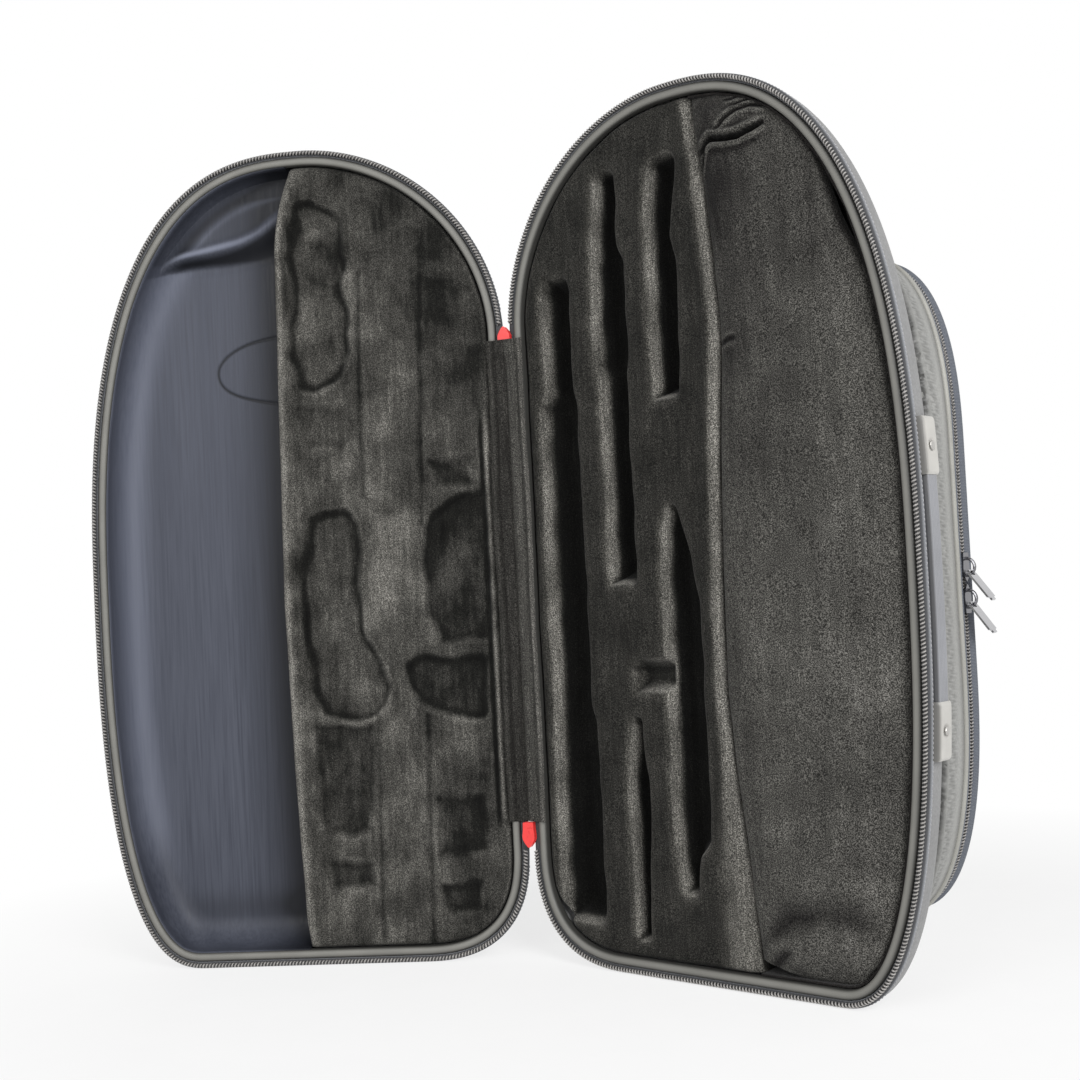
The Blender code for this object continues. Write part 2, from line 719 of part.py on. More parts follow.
def build_half(workshop, half, frame, depth, fillet, outline):
    """The shell, rim band, zip tape and zip coil that both halves have."""
    stations = closed_stations(outline, OUTLINE_POINTS)
    profile = fillet_profile(0.0, LIP_DEPTH, depth, fillet)
    shell = workshop.piece(f"{half}_shell", dish(stations, profile), frame, "leatherette")
    add_wall(shell, WALL)
    rear = depth - fillet
    workshop.piece(
        f"{half}_rim_band", sweep(stations, band_section(rear), True), frame, "rim band")
    workshop.piece(
        f"{half}_zip_tape", sweep(stations, tape_section(rear), True), frame, "zip tape",
        False)
    upper_end = LEAF_TOP + MAIN_SLIDER_LENGTH + 3 * SEAT_GAP
    lower_end = LEAF_BOTTOM - MAIN_SLIDER_LENGTH - 3 * SEAT_GAP
    run = stretch(stations, lambda p: p.y - upper_end, lambda p: lower_end - p.y)
    centre_depth = COIL_SETBACK + COIL_RADIUS
    beads = [offset_point(station, COIL_INSET, centre_depth) for station in run]
    tube(workshop, f"{half}_zip_coil", beads, COIL_RADIUS, frame, "zip coil", False)
    leaf_corners = (
        (LEAF_FROM_AXIS, LEAF_FRONT), (LEAF_REACH, LEAF_FRONT),
        (LEAF_REACH, LEAF_FRONT + LEAF_THICKNESS), (LEAF_FROM_AXIS, LEAF_FRONT + LEAF_THICKNESS),
    )
    leaf = loft([
        [Vector((u, d, z)) for u, d in leaf_corners] for z in (LEAF_BOTTOM, LEAF_TOP)])
    workshop.piece(f"{half}_hinge_leaf", leaf, frame, "hinge fabric", False)
    return stations


def build_tray(workshop, frame, stations):
    """The moulded tray: a foam block with stepped channels for each joint of the instruments."""
    floor = BASE_DEPTH - WALL - SEAT_GAP
    block = soft_block(stations, TRAY_FRONT, TRAY_ROUNDING, floor, BASE_FILLET)
    tray = workshop.piece("instrument_tray", block, frame, "tray velour")
    slab = slab_beyond_edge(
        TRAY_EDGE_SHARES, 0.0, True, TRAY_FRONT - CUT_OVERRUN, BASE_DEPTH + CUT_OVERRUN)
    boolean(tray, workshop.cutter("tray_edge_cut", slab, frame), "DIFFERENCE")
    channels = (
        ("flute_body_cut", FLUTE_BODY_PLACE_SHARES, FLUTE_BODY_SHARES, FLUTE_FLOOR),
        ("flute_head_cut", FLUTE_HEAD_PLACE_SHARES, FLUTE_HEAD_SHARES, FLUTE_FLOOR),
        ("flute_foot_cut", FLUTE_FOOT_PLACE_SHARES, FLUTE_FOOT_SHARES, FLUTE_FLOOR),
        ("piccolo_body_cut", PICCOLO_BODY_PLACE_SHARES, PICCOLO_BODY_SHARES,
         PICCOLO_BODY_FLOOR),
        ("piccolo_head_cut", PICCOLO_HEAD_PLACE_SHARES, PICCOLO_HEAD_SHARES,
         PICCOLO_HEAD_FLOOR),
        ("finger_slot_cut", FINGER_PLACE_SHARES, FINGER_SLOT_SHARES, FINGER_FLOOR),
    )
    for name, place_shares, shares, floor_depth in channels:
        cut = recess(
            place_shares, shares, TRAY_FRONT, floor_depth, CHANNEL_FLARE,
            CHANNEL_FLARE_DEPTH, CHANNEL_FLOOR_ROUNDING)
        boolean(tray, workshop.cutter(name, cut, frame), "DIFFERENCE")


def build_compartment(workshop, frame, stations):
    """The lining of the accessory compartment beside the tray."""
    inset = band_inner() + SOFT_INSET_GAP
    floor = BASE_DEPTH - WALL - SEAT_GAP
    profile = fillet_profile(inset, TRAY_FRONT, floor, COMPARTMENT_FILLET)
    lining = workshop.piece(
        "compartment_lining", dish(stations, profile), frame, "tray velour")
    add_wall(lining, LINING_THICKNESS)
    slab = slab_beyond_edge(
        TRAY_EDGE_SHARES, -SEAT_GAP, False, TRAY_FRONT - CUT_OVERRUN, BASE_DEPTH + CUT_OVERRUN)
    boolean(lining, workshop.cutter("lining_edge_cut", slab, frame), "DIFFERENCE")


def outline_far_u(stations_far, z):
    """Where the far side of a dense outline lies at a height."""
    for first, second in zip(stations_far, stations_far[1:]):
        if second.y <= z <= first.y:
            span = first.y - second.y
            share = (z - second.y) / span if span > 0 else 0.0
            return second.x + (first.x - second.x) * share
    return stations_far[-1].x


def build_cushion(workshop, frame, outline):
    """The stuffed cushion over the compartment, with its crown and the fold at its top."""
    inset = band_inner() + SOFT_INSET_GAP + LINING_THICKNESS + CUSHION_RIM_GAP
    normals = inward_normals(outline)
    inner = [p + n * inset for p, n in zip(outline, normals)]
    far = [p for p in inner if p.x > ARCH_APEX]
    bottom = inset + CUSHION_FOOT_GAP
    top = max(p.y for p in far if p.x - edge_u(TRAY_EDGE_SHARES, p.y) > CUSHION_END_WIDTH)
    top_skin = []
    under_skin = []
    for row in range(CUSHION_ROWS + 1):
        along = 0.5 - 0.5 * math.cos(math.pi * row / CUSHION_ROWS)
        z = bottom + (top - bottom) * along
        waist = CUSHION_DRAWN_IN * math.sin(math.pi * along)
        low = edge_u(TRAY_EDGE_SHARES, z) + CUSHION_SIDE_GAP + waist
        high = outline_far_u(far, z) - waist
        top_row = []
        under_row = []
        for column in range(CUSHION_COLUMNS + 1):
            across = 0.5 - 0.5 * math.cos(math.pi * column / CUSHION_COLUMNS)
            swell = (1 - abs(2 * across - 1) ** CUSHION_EDGE_POWER) ** 0.5
            swell *= (1 - abs(2 * along - 1) ** (4 * CUSHION_EDGE_POWER)) ** 0.5
            fold = math.exp(-((z - CUSHION_FOLD_HEIGHT) / CUSHION_FOLD_HALF_WIDTH) ** 2)
            fold *= max(0.0, 1 - across / CUSHION_FOLD_REACH_SHARE)
            u = low + (high - low) * across
            rise = CUSHION_CROWN * swell - CUSHION_FOLD_DEPTH * fold * swell
            top_row.append(Vector((u, CUSHION_SEAM_DEPTH - rise, z)))
            under_row.append(Vector((u, CUSHION_SEAM_DEPTH + CUSHION_UNDERSIDE * swell, z)))
        top_skin.append(top_row)
        under_skin.append(under_row)
    workshop.piece(
        "accessory_cushion", pillow(top_skin, under_skin), frame, "cushion velour")


def pillow(top_skin, under_skin):
    """Join two skins of equal rows along their shared border."""
    skin = bmesh.new()
    last_row = len(top_skin) - 1
    last_column = len(top_skin[0]) - 1
    grids = []
    border = {}
    for rows in (top_skin, under_skin):
        grid = []
        for i, row in enumerate(rows):
            line = []
            for j, point in enumerate(row):
                on_border = i in (0, last_row) or j in (0, last_column)
                if on_border and (i, j) in border:
                    line.append(border[(i, j)])
                    continue
                vert = skin.verts.new(point)
                if on_border:
                    border[(i, j)] = vert
                line.append(vert)
            grid.append(line)
        grids.append(grid)
    for grid in grids:
        for i in range(last_row):
            for j in range(last_column):
                skin.faces.new(
                    (grid[i][j], grid[i][j + 1], grid[i + 1][j + 1], grid[i + 1][j]))
    return skin


def build_pad(workshop, frame, stations):
    """The velour pad of the lid, pressed in by the keys."""
    floor = LID_DEPTH - WALL - SEAT_GAP
    block = soft_block(stations, PAD_FRONT, PAD_ROUNDING, floor, LID_FILLET)
    pad = workshop.piece("lid_pad", block, frame, "pad velour")
    slab = slab_beyond_edge(
        PAD_EDGE_SHARES, 0.0, True, PAD_FRONT - CUT_OVERRUN, LID_DEPTH + CUT_OVERRUN)
    boolean(pad, workshop.cutter("pad_edge_cut", slab, frame), "DIFFERENCE")
    for number, place_shares in enumerate(KEY_DENT_PLACE_SHARES):
        cut = recess(
            place_shares, DENT_SHARES, PAD_FRONT, PAD_FRONT + DENT_DEPTH, DENT_FLARE, DENT_DEPTH / 2,
            DENT_DEPTH / 3)
        boolean(pad, workshop.cutter(f"key_dent_cut_{number + 1}", cut, frame), "DIFFERENCE")


def build_lid_lining(workshop, frame, stations):
    """The lining of the lid's open compartment, with the moulded shelf at its top."""
    inset = band_inner() + SOFT_INSET_GAP
    floor = LID_DEPTH - WALL - SEAT_GAP
    profile = fillet_profile(inset, LID_LINING_FRONT, floor, LID_LINING_FILLET)
    lining = workshop.piece("lid_lining", dish(stations, profile), frame, "lining satin")
    add_wall(lining, LINING_THICKNESS)
    inside = [
        (side + LINING_THICKNESS / 2, depth - LINING_THICKNESS / 2)
        for side, depth in profile if depth > SHELF_DEPTH
    ]
    inside.insert(0, (inset + LINING_THICKNESS / 2, SHELF_DEPTH))
    shelf = workshop.cutter(
        "shelf_block",
        loft([[offset_point(s, *corner) for s in stations] for corner in inside]), frame)
    line = [(u * CASE_WIDTH, z * CASE_HEIGHT) for u, z in SHELF_EDGE_SHARES]
    corners = line + [(CASE_WIDTH + CUT_OVERRUN, -CUT_OVERRUN), (-CUT_OVERRUN, -CUT_OVERRUN),
                      (-CUT_OVERRUN, line[0][1])]
    below = loft([
        [Vector((u, depth, z)) for u, z in corners]
        for depth in (SHELF_DEPTH - CUT_OVERRUN, LID_DEPTH + CUT_OVERRUN)])
    boolean(shelf, workshop.cutter("shelf_edge_cut", below, frame), "DIFFERENCE")
    boolean(lining, shelf, "UNION")
    slab = slab_beyond_edge(
        PAD_EDGE_SHARES, -SEAT_GAP, False, LID_LINING_FRONT - CUT_OVERRUN,
        LID_DEPTH + CUT_OVERRUN)
    boolean(lining, workshop.cutter("lid_lining_edge_cut", slab, frame), "DIFFERENCE")


def side_stations(stations, bottom, top):
    """Stations down the far side of a half between two heights."""
    far = [station for station in stations if station[0].x > FOOT_END]
    return stretch(far, lambda p: top - p.y, lambda p: p.y - bottom)


def side_station(stations, height):
    """The station of the far side at one height."""
    far = [station for station in stations if station[0].x > FOOT_END]
    after = next(i for i, station in enumerate(far) if station[0].y < height)
    return crossing(far[after - 1], far[after], lambda p: p.y - height)


def build_handle(workshop, frame, all_stations):
    """The side handle: a ribbed strap held at each end by a riveted tab."""
    near = HANDLE_DEPTH_FROM
    far = near + HANDLE_STRAP_WIDTH
    under = -SEAT_GAP
    crest = under - HANDLE_STRAP_THICKNESS
    groove = crest + HANDLE_RIB
    pitch = HANDLE_STRAP_WIDTH / (HANDLE_RIBS + 1)
    strap_section = [(under, near), (crest, near)]
    for rib in range(1, HANDLE_RIBS + 1):
        middle = near + rib * pitch
        strap_section += [
            (crest, middle - HANDLE_RIB), (groove, middle), (crest, middle + HANDLE_RIB)]
    strap_section += [(crest, far), (under, far)]
    run = side_stations(all_stations, HANDLE_BOTTOM, HANDLE_TOP)
    strap = workshop.piece("handle_strap", sweep(run, strap_section, False), frame, "strap")
    inner_top = crest - SEAT_GAP
    outer_top = inner_top - HANDLE_TAB_THICKNESS
    inside_near = near - HANDLE_TAB_SIDE_GAP
    inside_far = far + HANDLE_TAB_SIDE_GAP
    outside_near = inside_near - HANDLE_TAB_THICKNESS
    outside_far = inside_far + HANDLE_TAB_THICKNESS
    tab_section = (
        (under, outside_near), (outer_top + HANDLE_RIB, outside_near),
        (outer_top, outside_near + HANDLE_RIB), (outer_top, outside_far - HANDLE_RIB),
        (outer_top + HANDLE_RIB, outside_far), (under, outside_far), (under, inside_far),
        (inner_top, inside_far), (inner_top, inside_near), (under, inside_near),
    )
    middle_depth = near + HANDLE_STRAP_WIDTH / 2
    ends = (
        ("upper", HANDLE_TOP - HANDLE_TAB_LENGTH, HANDLE_TOP),
        ("lower", HANDLE_BOTTOM, HANDLE_BOTTOM + HANDLE_TAB_LENGTH),
    )
    for end, bottom, top in ends:
        stations = side_stations(all_stations, bottom, top)
        tab = workshop.piece(
            f"handle_tab_{end}", sweep(stations, tab_section, False), frame, "tab")
        seat = side_station(all_stations, (bottom + top) / 2)
        hole = round_bar(
            seat, middle_depth, RIVET_RADIUS + SEAT_GAP, -CUT_OVERRUN, CUT_OVERRUN)
        cut = workshop.cutter(f"rivet_hole_{end}", hole, frame)
        boolean(tab, cut, "DIFFERENCE")
        boolean(strap, cut, "DIFFERENCE")
        head_base = outer_top - SEAT_GAP
        rivet = turned_rivet(seat, middle_depth, head_base, under)
        workshop.piece(f"handle_rivet_{end}", rivet, frame, "bright metal")


def bar_loop(seat, depth, radius, inset, sides=12):
    """A circle about a line that runs square into the side of the case."""
    point, normal = seat
    along = Vector((-normal.y, normal.x))
    loop = []
    for side in range(sides):
        turn = 2 * math.pi * side / sides
        shift = radius * math.cos(turn)
        loop.append(Vector((
            point.x + normal.x * inset + along.x * shift,
            depth + radius * math.sin(turn),
            point.y + normal.y * inset + along.y * shift,
        )))
    return loop


def round_bar(seat, depth, radius, start, end):
    """A plain round bar square to the side."""
    return loft([bar_loop(seat, depth, radius, inset) for inset in (start, end)])


def turned_rivet(seat, depth, head_base, tip):
    """A rivet: domed head on the tab and a shank that reaches the shell."""
    steps = (
        (RIVET_HEAD_RADIUS * RIVET_CROWN_SHARE, head_base - RIVET_HEAD_HEIGHT),
        (RIVET_HEAD_RADIUS * RIVET_BROW_SHARE,
         head_base - RIVET_HEAD_HEIGHT * RIVET_BROW_HEIGHT_SHARE),
        (RIVET_HEAD_RADIUS, head_base), (RIVET_RADIUS, head_base), (RIVET_RADIUS, tip),
    )
    return loft([bar_loop(seat, depth, radius, inset) for radius, inset in steps])


def fillet_depth(distance):
    """Depth of the back of the base shell at a distance in from its side."""
    if distance >= BASE_FILLET:
        return BASE_DEPTH
    if distance <= 0:
        return BASE_DEPTH - BASE_FILLET
    reach = BASE_FILLET - distance
    return BASE_DEPTH - BASE_FILLET + math.sqrt(BASE_FILLET ** 2 - reach ** 2)


def distance_inside(outline, u, z):
    """How far a plan point lies in from an outline."""
    point = Vector((u, z))
    return min((point - dense).length for dense in outline)


def pocket_levels():
    """Depths of the pocket's rings, from its gusset to its cover."""
    tape_front = GUSSET_REAR + SEAT_GAP
    tape_rear = tape_front + POCKET_TAPE_LENGTH
    coil = tape_rear + SEAT_GAP + POCKET_COIL_RADIUS
    cover_coil = coil + 2 * POCKET_COIL_RADIUS + POCKET_COIL_GAP
    cover_tape_front = cover_coil + POCKET_COIL_RADIUS + SEAT_GAP
    cover_tape_rear = cover_tape_front + COVER_TAPE_LENGTH
    cover_front = cover_tape_rear + SEAT_GAP
    return {
        "tape": (tape_front, tape_rear), "coil": coil, "cover_coil": cover_coil,
        "cover_tape": (cover_tape_front, cover_tape_rear),
        "cover": (cover_front, cover_front + COVER_THICKNESS),
    }


def build_pocket(workshop, frame, cover_frame, outline, pocket):
    """The pocket on the back: gusset, piping, zip and a cover that turns at the spine."""
    levels = pocket_levels()
    stations = closed_stations(pocket, POCKET_POINTS)
    gusset = workshop.piece(
        "pocket_gusset", gusset_wall(stations, outline), frame, "leatherette")
    piping_depth = GUSSET_REAR + SEAT_GAP + PIPING_RADIUS
    piping_inset = -PIPING_PROUD
    piping = [offset_point(s, piping_inset, piping_depth) for s in stations]
    tube(workshop, "pocket_piping", piping, PIPING_RADIUS, frame, "piping", True, 1)
    tape_outer = piping_inset + PIPING_RADIUS + SEAT_GAP
    tape_inner = tape_outer + TAPE_THICKNESS
    zip_from = POCKET_NEAR + POCKET_SPINE_CORNER
    run = stretch(stations, lambda p: p.x - zip_from, lambda p: p.x - zip_from)
    coil_inset = (tape_outer + tape_inner) / 2
    for name, owner, span in (
            ("pocket_zip_tape", frame, levels["tape"]),
            ("cover_zip_tape", cover_frame, levels["cover_tape"])):
        section = ((tape_outer, span[1]), (tape_outer, span[0]),
                   (tape_inner, span[0]), (tape_inner, span[1]))
        workshop.piece(name, sweep(run, section, False), owner, "zip tape", False)
    for name, owner, depth in (
            ("pocket_zip_coil", frame, levels["coil"]),
            ("cover_zip_coil", cover_frame, levels["cover_coil"])):
        beads = [offset_point(s, coil_inset, depth) for s in run]
        tube(workshop, name, beads, POCKET_COIL_RADIUS, owner, "zip coil", False)
    turned = stations[POCKET_POINTS // 2:] + stations[:POCKET_POINTS // 2]
    band_to = zip_from - 2 * SEAT_GAP
    spine_run = stretch(turned, lambda p: band_to - p.x, lambda p: band_to - p.x)
    strip_front = levels["tape"][0]
    strip_rear = levels["cover"][0] - SEAT_GAP
    strip = ((tape_outer, strip_rear), (tape_outer, strip_front),
             (tape_outer + HINGE_BAND_THICKNESS, strip_front),
             (tape_outer + HINGE_BAND_THICKNESS, strip_rear))
    workshop.piece(
        "pocket_hinge_band", sweep(spine_run, strip, False), frame, "zip tape", False)
    front, rear = levels["cover"]
    cover_loops = (
        (COVER_ROUNDING / 2, front), (0, front + COVER_ROUNDING / 3),
        (0, rear - COVER_ROUNDING * (1 - COVER_BROW_SHARE)),
        (COVER_ROUNDING * COVER_BROW_SHARE, rear - COVER_ROUNDING * COVER_BROW_SHARE),
        (COVER_ROUNDING, rear),
    )
    cover = loft([[offset_point(s, *corner) for s in stations] for corner in cover_loops])
    workshop.piece("pocket_cover", cover, cover_frame, "leatherette")
    return coil_inset, gusset


def gusset_wall(stations, outline):
    """The pocket's side wall, whose front edge follows the rounded back of the shell."""
    loops = []
    for station in stations:
        outer = offset_point(station, 0.0, 0.0)
        inner = offset_point(station, GUSSET_THICKNESS, 0.0)
        depth = fillet_depth(distance_inside(outline, inner.x, inner.z)) + 2 * SEAT_GAP
        loops.append([
            Vector((outer.x, depth, outer.z)), Vector((outer.x, GUSSET_REAR, outer.z)),
            Vector((inner.x, GUSSET_REAR, inner.z)), Vector((inner.x, depth, inner.z)),
        ])
    return loft(loops, wrap=True)


def shield(length, half_width, face_x, thickness):
    """A slider plate in slider space: x out, y across, z from tail to nose."""
    left = [(s * length, -w * half_width) for s, w in SHIELD_SHARES]
    right = [(s * length, w * half_width) for s, w in reversed(SHIELD_SHARES)]
    outline = left + right
    return loft([
        [Vector((x, across, along)) for along, across in outline]
        for x in (face_x, face_x + thickness)])


def box(low, high):
    """A closed box between two corners."""
    corners = ((low[0], low[1]), (high[0], low[1]), (high[0], high[1]), (low[0], high[1]))
    return loft([[Vector((x, y, z)) for x, y in corners] for z in (low[2], high[2])])


def bar_between(start, end, radius, sides=10):
    """A round bar between two points."""
    axis = (Vector(end) - Vector(start)).normalized()
    side = axis.orthogonal().normalized()
    other = axis.cross(side)
    loops = []
    for centre in (Vector(start), Vector(end)):
        loops.append([
            centre + side * radius * math.cos(2 * math.pi * k / sides)
            + other * radius * math.sin(2 * math.pi * k / sides) for k in range(sides)])
    return loft(loops)


def place_mesh(skin, matrix):
    """Move a bmesh from slider space into the plan."""
    bmesh.ops.transform(skin, matrix=matrix, verts=skin.verts)
    return skin


def slider_matrix(seat, out, nose):
    """Slider space to plan: x along out, z along nose."""
    x_axis = Vector(out).normalized()
    z_axis = Vector(nose).normalized()
    y_axis = z_axis.cross(x_axis)
    rotation = Matrix((x_axis, y_axis, z_axis)).transposed().to_4x4()
    return Matrix.Translation(seat) @ rotation


def build_pocket_slider(workshop, end, frame, seat, nose):
    """A chrome slider on the pocket zip: two plates, a post between the coils and a bail."""
    half_gap = POCKET_COIL_RADIUS + SLIDER_CLEARANCE
    matrix = slider_matrix(seat, (1, 0, 0), (0, 0, nose))
    plate_sizes = (SLIDER_LENGTH, SLIDER_HALF_WIDTH)
    name = f"pocket_slider_{end}"
    outer_plate = place_mesh(shield(*plate_sizes, half_gap, SLIDER_PLATE), matrix)
    slider = workshop.piece(name, outer_plate, frame, "chrome")
    inner_plate = place_mesh(
        shield(*plate_sizes, -half_gap - SLIDER_PLATE, SLIDER_PLATE), matrix)
    joined = [workshop.cutter(f"{name}_inner_plate", inner_plate, frame)]
    post_start = SLIDER_LENGTH * SLIDER_POST_START_SHARE
    post_end = SLIDER_LENGTH * SLIDER_POST_END_SHARE
    into_plate = half_gap + SLIDER_PLATE / 2
    post = place_mesh(
        box((-into_plate, -SLIDER_POST_HALF, post_start),
            (into_plate, SLIDER_POST_HALF, post_end)), matrix)
    joined.append(workshop.cutter(f"{name}_post", post, frame))
    centre = (half_gap + SLIDER_PLATE, 0.0, SLIDER_LENGTH / 2)
    arch = place_mesh(arch_bar(centre, BAIL_RADIUS, BAIL_WIRE, SLIDER_PLATE / 2), matrix)
    joined.append(workshop.cutter(f"{name}_bail", arch, frame))
    for operand in joined:
        boolean(slider, operand, "UNION")


def arch_bar(centre, radius, wire, foot, steps=10, sides=8):
    """A round wire bent to a half circle on a plate, its feet let into the plate."""
    path = [Vector((centre[0] - foot, 0, centre[2] - radius))]
    for step in range(steps + 1):
        turn = -math.pi / 2 + math.pi * step / steps
        path.append(Vector((
            centre[0] + radius * math.cos(turn), 0, centre[2] + radius * math.sin(turn))))
    path.append(Vector((centre[0] - foot, 0, centre[2] + radius)))
    loops = []
    for index, point in enumerate(path):
        before = path[max(index - 1, 0)]
        after = path[min(index + 1, len(path) - 1)]
        along = (after - before).normalized()
        out = Vector((along.z, 0, -along.x))
        loops.append([
            point + out * wire * math.cos(2 * math.pi * k / sides)
            + Vector((0, 1, 0)) * wire * math.sin(2 * math.pi * k / sides)
            for k in range(sides)])
    return loft(loops)


def build_pocket_pull(workshop, end, frame, seat, angle):
    """A flat pull plate that swings round the bail, its eye about the bail's wire."""
    half_gap = POCKET_COIL_RADIUS + SLIDER_CLEARANCE
    name = f"pocket_pull_{end}"
    half = PULL_WIDTH / 2
    thin = PULL_THICKNESS / 2
    plate = box((PULL_INNER, -half, -thin), (PULL_OUTER, half, thin))
    eye = box((BAIL_RADIUS - PULL_EYE_HALF, -PULL_EYE_HALF, -CUT_OVERRUN),
              (BAIL_RADIUS + PULL_EYE_HALF, PULL_EYE_HALF, CUT_OVERRUN))
    centre = Vector(seat) + Vector((half_gap + SLIDER_PLATE, 0, 0))
    turn = Matrix.Translation(centre) @ Matrix.Rotation(-angle, 4, "Y")
    bmesh.ops.bevel(
        plate, geom=[e for e in plate.edges if abs((e.verts[0].co - e.verts[1].co).z) > thin],
        offset=half * PULL_CORNER_SHARE, segments=3, affect="EDGES")
    pull = workshop.piece(name, place_mesh(plate, turn), frame, "chrome")
    boolean(pull, workshop.cutter(f"{name}_eye", place_mesh(eye, turn), frame), "DIFFERENCE")


def build_main_slider(workshop, end, frame, nose, tail_z):
    """A red slider of the main zip, with ears and a pin that carry its pull at the back."""
    half_open = OPEN_ANGLE / 2
    back = Vector((-math.cos(half_open), math.sin(half_open), 0))
    name = f"main_slider_{end}"
    matrix = slider_matrix((0, 0, tail_z), back, (0, 0, nose))
    plate_sizes = (MAIN_SLIDER_LENGTH, MAIN_SLIDER_HALF_WIDTH)
    front_plate = place_mesh(
        shield(*plate_sizes, -MAIN_SLIDER_HALF_GAP - MAIN_SLIDER_PLATE, MAIN_SLIDER_PLATE),
        matrix)
    slider = workshop.piece(name, front_plate, frame, "red enamel")
    back_plate = place_mesh(
        shield(*plate_sizes, MAIN_SLIDER_HALF_GAP, MAIN_SLIDER_PLATE), matrix)
    joined = [workshop.cutter(f"{name}_back_plate", back_plate, frame)]
    into_plate = MAIN_SLIDER_HALF_GAP + MAIN_SLIDER_PLATE / 2
    post = place_mesh(
        box((-into_plate, -MAIN_SLIDER_POST_HALF, MAIN_SLIDER_LENGTH * MAIN_POST_START_SHARE),
            (into_plate, MAIN_SLIDER_POST_HALF, MAIN_SLIDER_LENGTH * MAIN_POST_END_SHARE)),
        matrix)
    joined.append(workshop.cutter(f"{name}_post", post, frame))
    middle = tail_z + nose * MAIN_SLIDER_LENGTH / 2
    ear_outer = MAIN_EAR_HALF_GAP + MAIN_EAR_THICKNESS
    ear_front = MAIN_SLIDER_HALF_GAP + MAIN_SLIDER_PLATE / 2
    for side in (-1, 1):
        near, far = sorted((side * MAIN_EAR_HALF_GAP, side * ear_outer))
        ear = box((near, ear_front, middle - MAIN_EAR_WIDTH / 2),
                  (far, MAIN_PIN_DISTANCE + MAIN_PIN_RADIUS * 2, middle + MAIN_EAR_WIDTH / 2))
        joined.append(workshop.cutter(f"{name}_ear_{side + 2}", ear, frame))
    pin = bar_between(
        (-ear_outer + MAIN_EAR_THICKNESS / 2, MAIN_PIN_DISTANCE, middle),
        (ear_outer - MAIN_EAR_THICKNESS / 2, MAIN_PIN_DISTANCE, middle), MAIN_PIN_RADIUS)
    joined.append(workshop.cutter(f"{name}_pin", pin, frame))
    for operand in joined:
        boolean(slider, operand, "UNION")
    return middle


def build_main_pull(workshop, end, frame, middle, out):
    """The flat pull of a main slider, which turns on the slider's pin."""
    name = f"main_pull_{end}"
    half = MAIN_PULL_WIDTH / 2
    thin = MAIN_PULL_HALF_THICKNESS
    plate = box((-half, -half, -thin), (MAIN_PULL_LENGTH, half, thin))
    bmesh.ops.bevel(
        plate, geom=[e for e in plate.edges if abs((e.verts[0].co - e.verts[1].co).z) > thin],
        offset=half * MAIN_PULL_CORNER_SHARE, segments=3, affect="EDGES")
    eye = bar_between((0, 0, -CUT_OVERRUN), (0, 0, CUT_OVERRUN), MAIN_PULL_EYE)
    x_axis = Vector(out)
    z_axis = Vector((1, 0, 0))
    y_axis = z_axis.cross(x_axis)
    rotation = Matrix((x_axis, y_axis, z_axis)).transposed().to_4x4()
    matrix = Matrix.Translation((0, MAIN_PIN_DISTANCE, middle)) @ rotation
    pull = workshop.piece(name, place_mesh(plate, matrix), frame, "red enamel")
    boolean(pull, workshop.cutter(f"{name}_eye", place_mesh(eye, matrix), frame), "DIFFERENCE")


def add_materials(workshop):
    """The plain colours of the photograph's materials."""
    workshop.material("leatherette", (0.38, 0.38, 0.39), 0.55)
    workshop.material("rim band", (0.20, 0.19, 0.18), 0.50)
    workshop.material("zip tape", (0.12, 0.13, 0.15), 0.85)
    workshop.material("zip coil", (0.05, 0.05, 0.055), 0.30)
    workshop.material("tray velour", (0.022, 0.021, 0.020), 0.95)
    workshop.material("cushion velour", (0.035, 0.034, 0.032), 0.95)
    workshop.material("pad velour", (0.055, 0.053, 0.050), 0.95)
    workshop.material("hinge fabric", (0.045, 0.044, 0.043), 0.90)
    workshop.material("lining satin", (0.075, 0.080, 0.100), 0.45)
    workshop.material("piping", (0.40, 0.39, 0.37), 0.50)
    workshop.material("strap", (0.42, 0.42, 0.43), 0.45)
    workshop.material("tab", (0.55, 0.54, 0.52), 0.35)
    workshop.material("bright metal", (0.75, 0.75, 0.76), 0.25, 1.0)
    workshop.material("chrome", (0.80, 0.80, 0.82), 0.12, 1.0)
    workshop.material("red enamel", (0.80, 0.045, 0.045), 0.35)


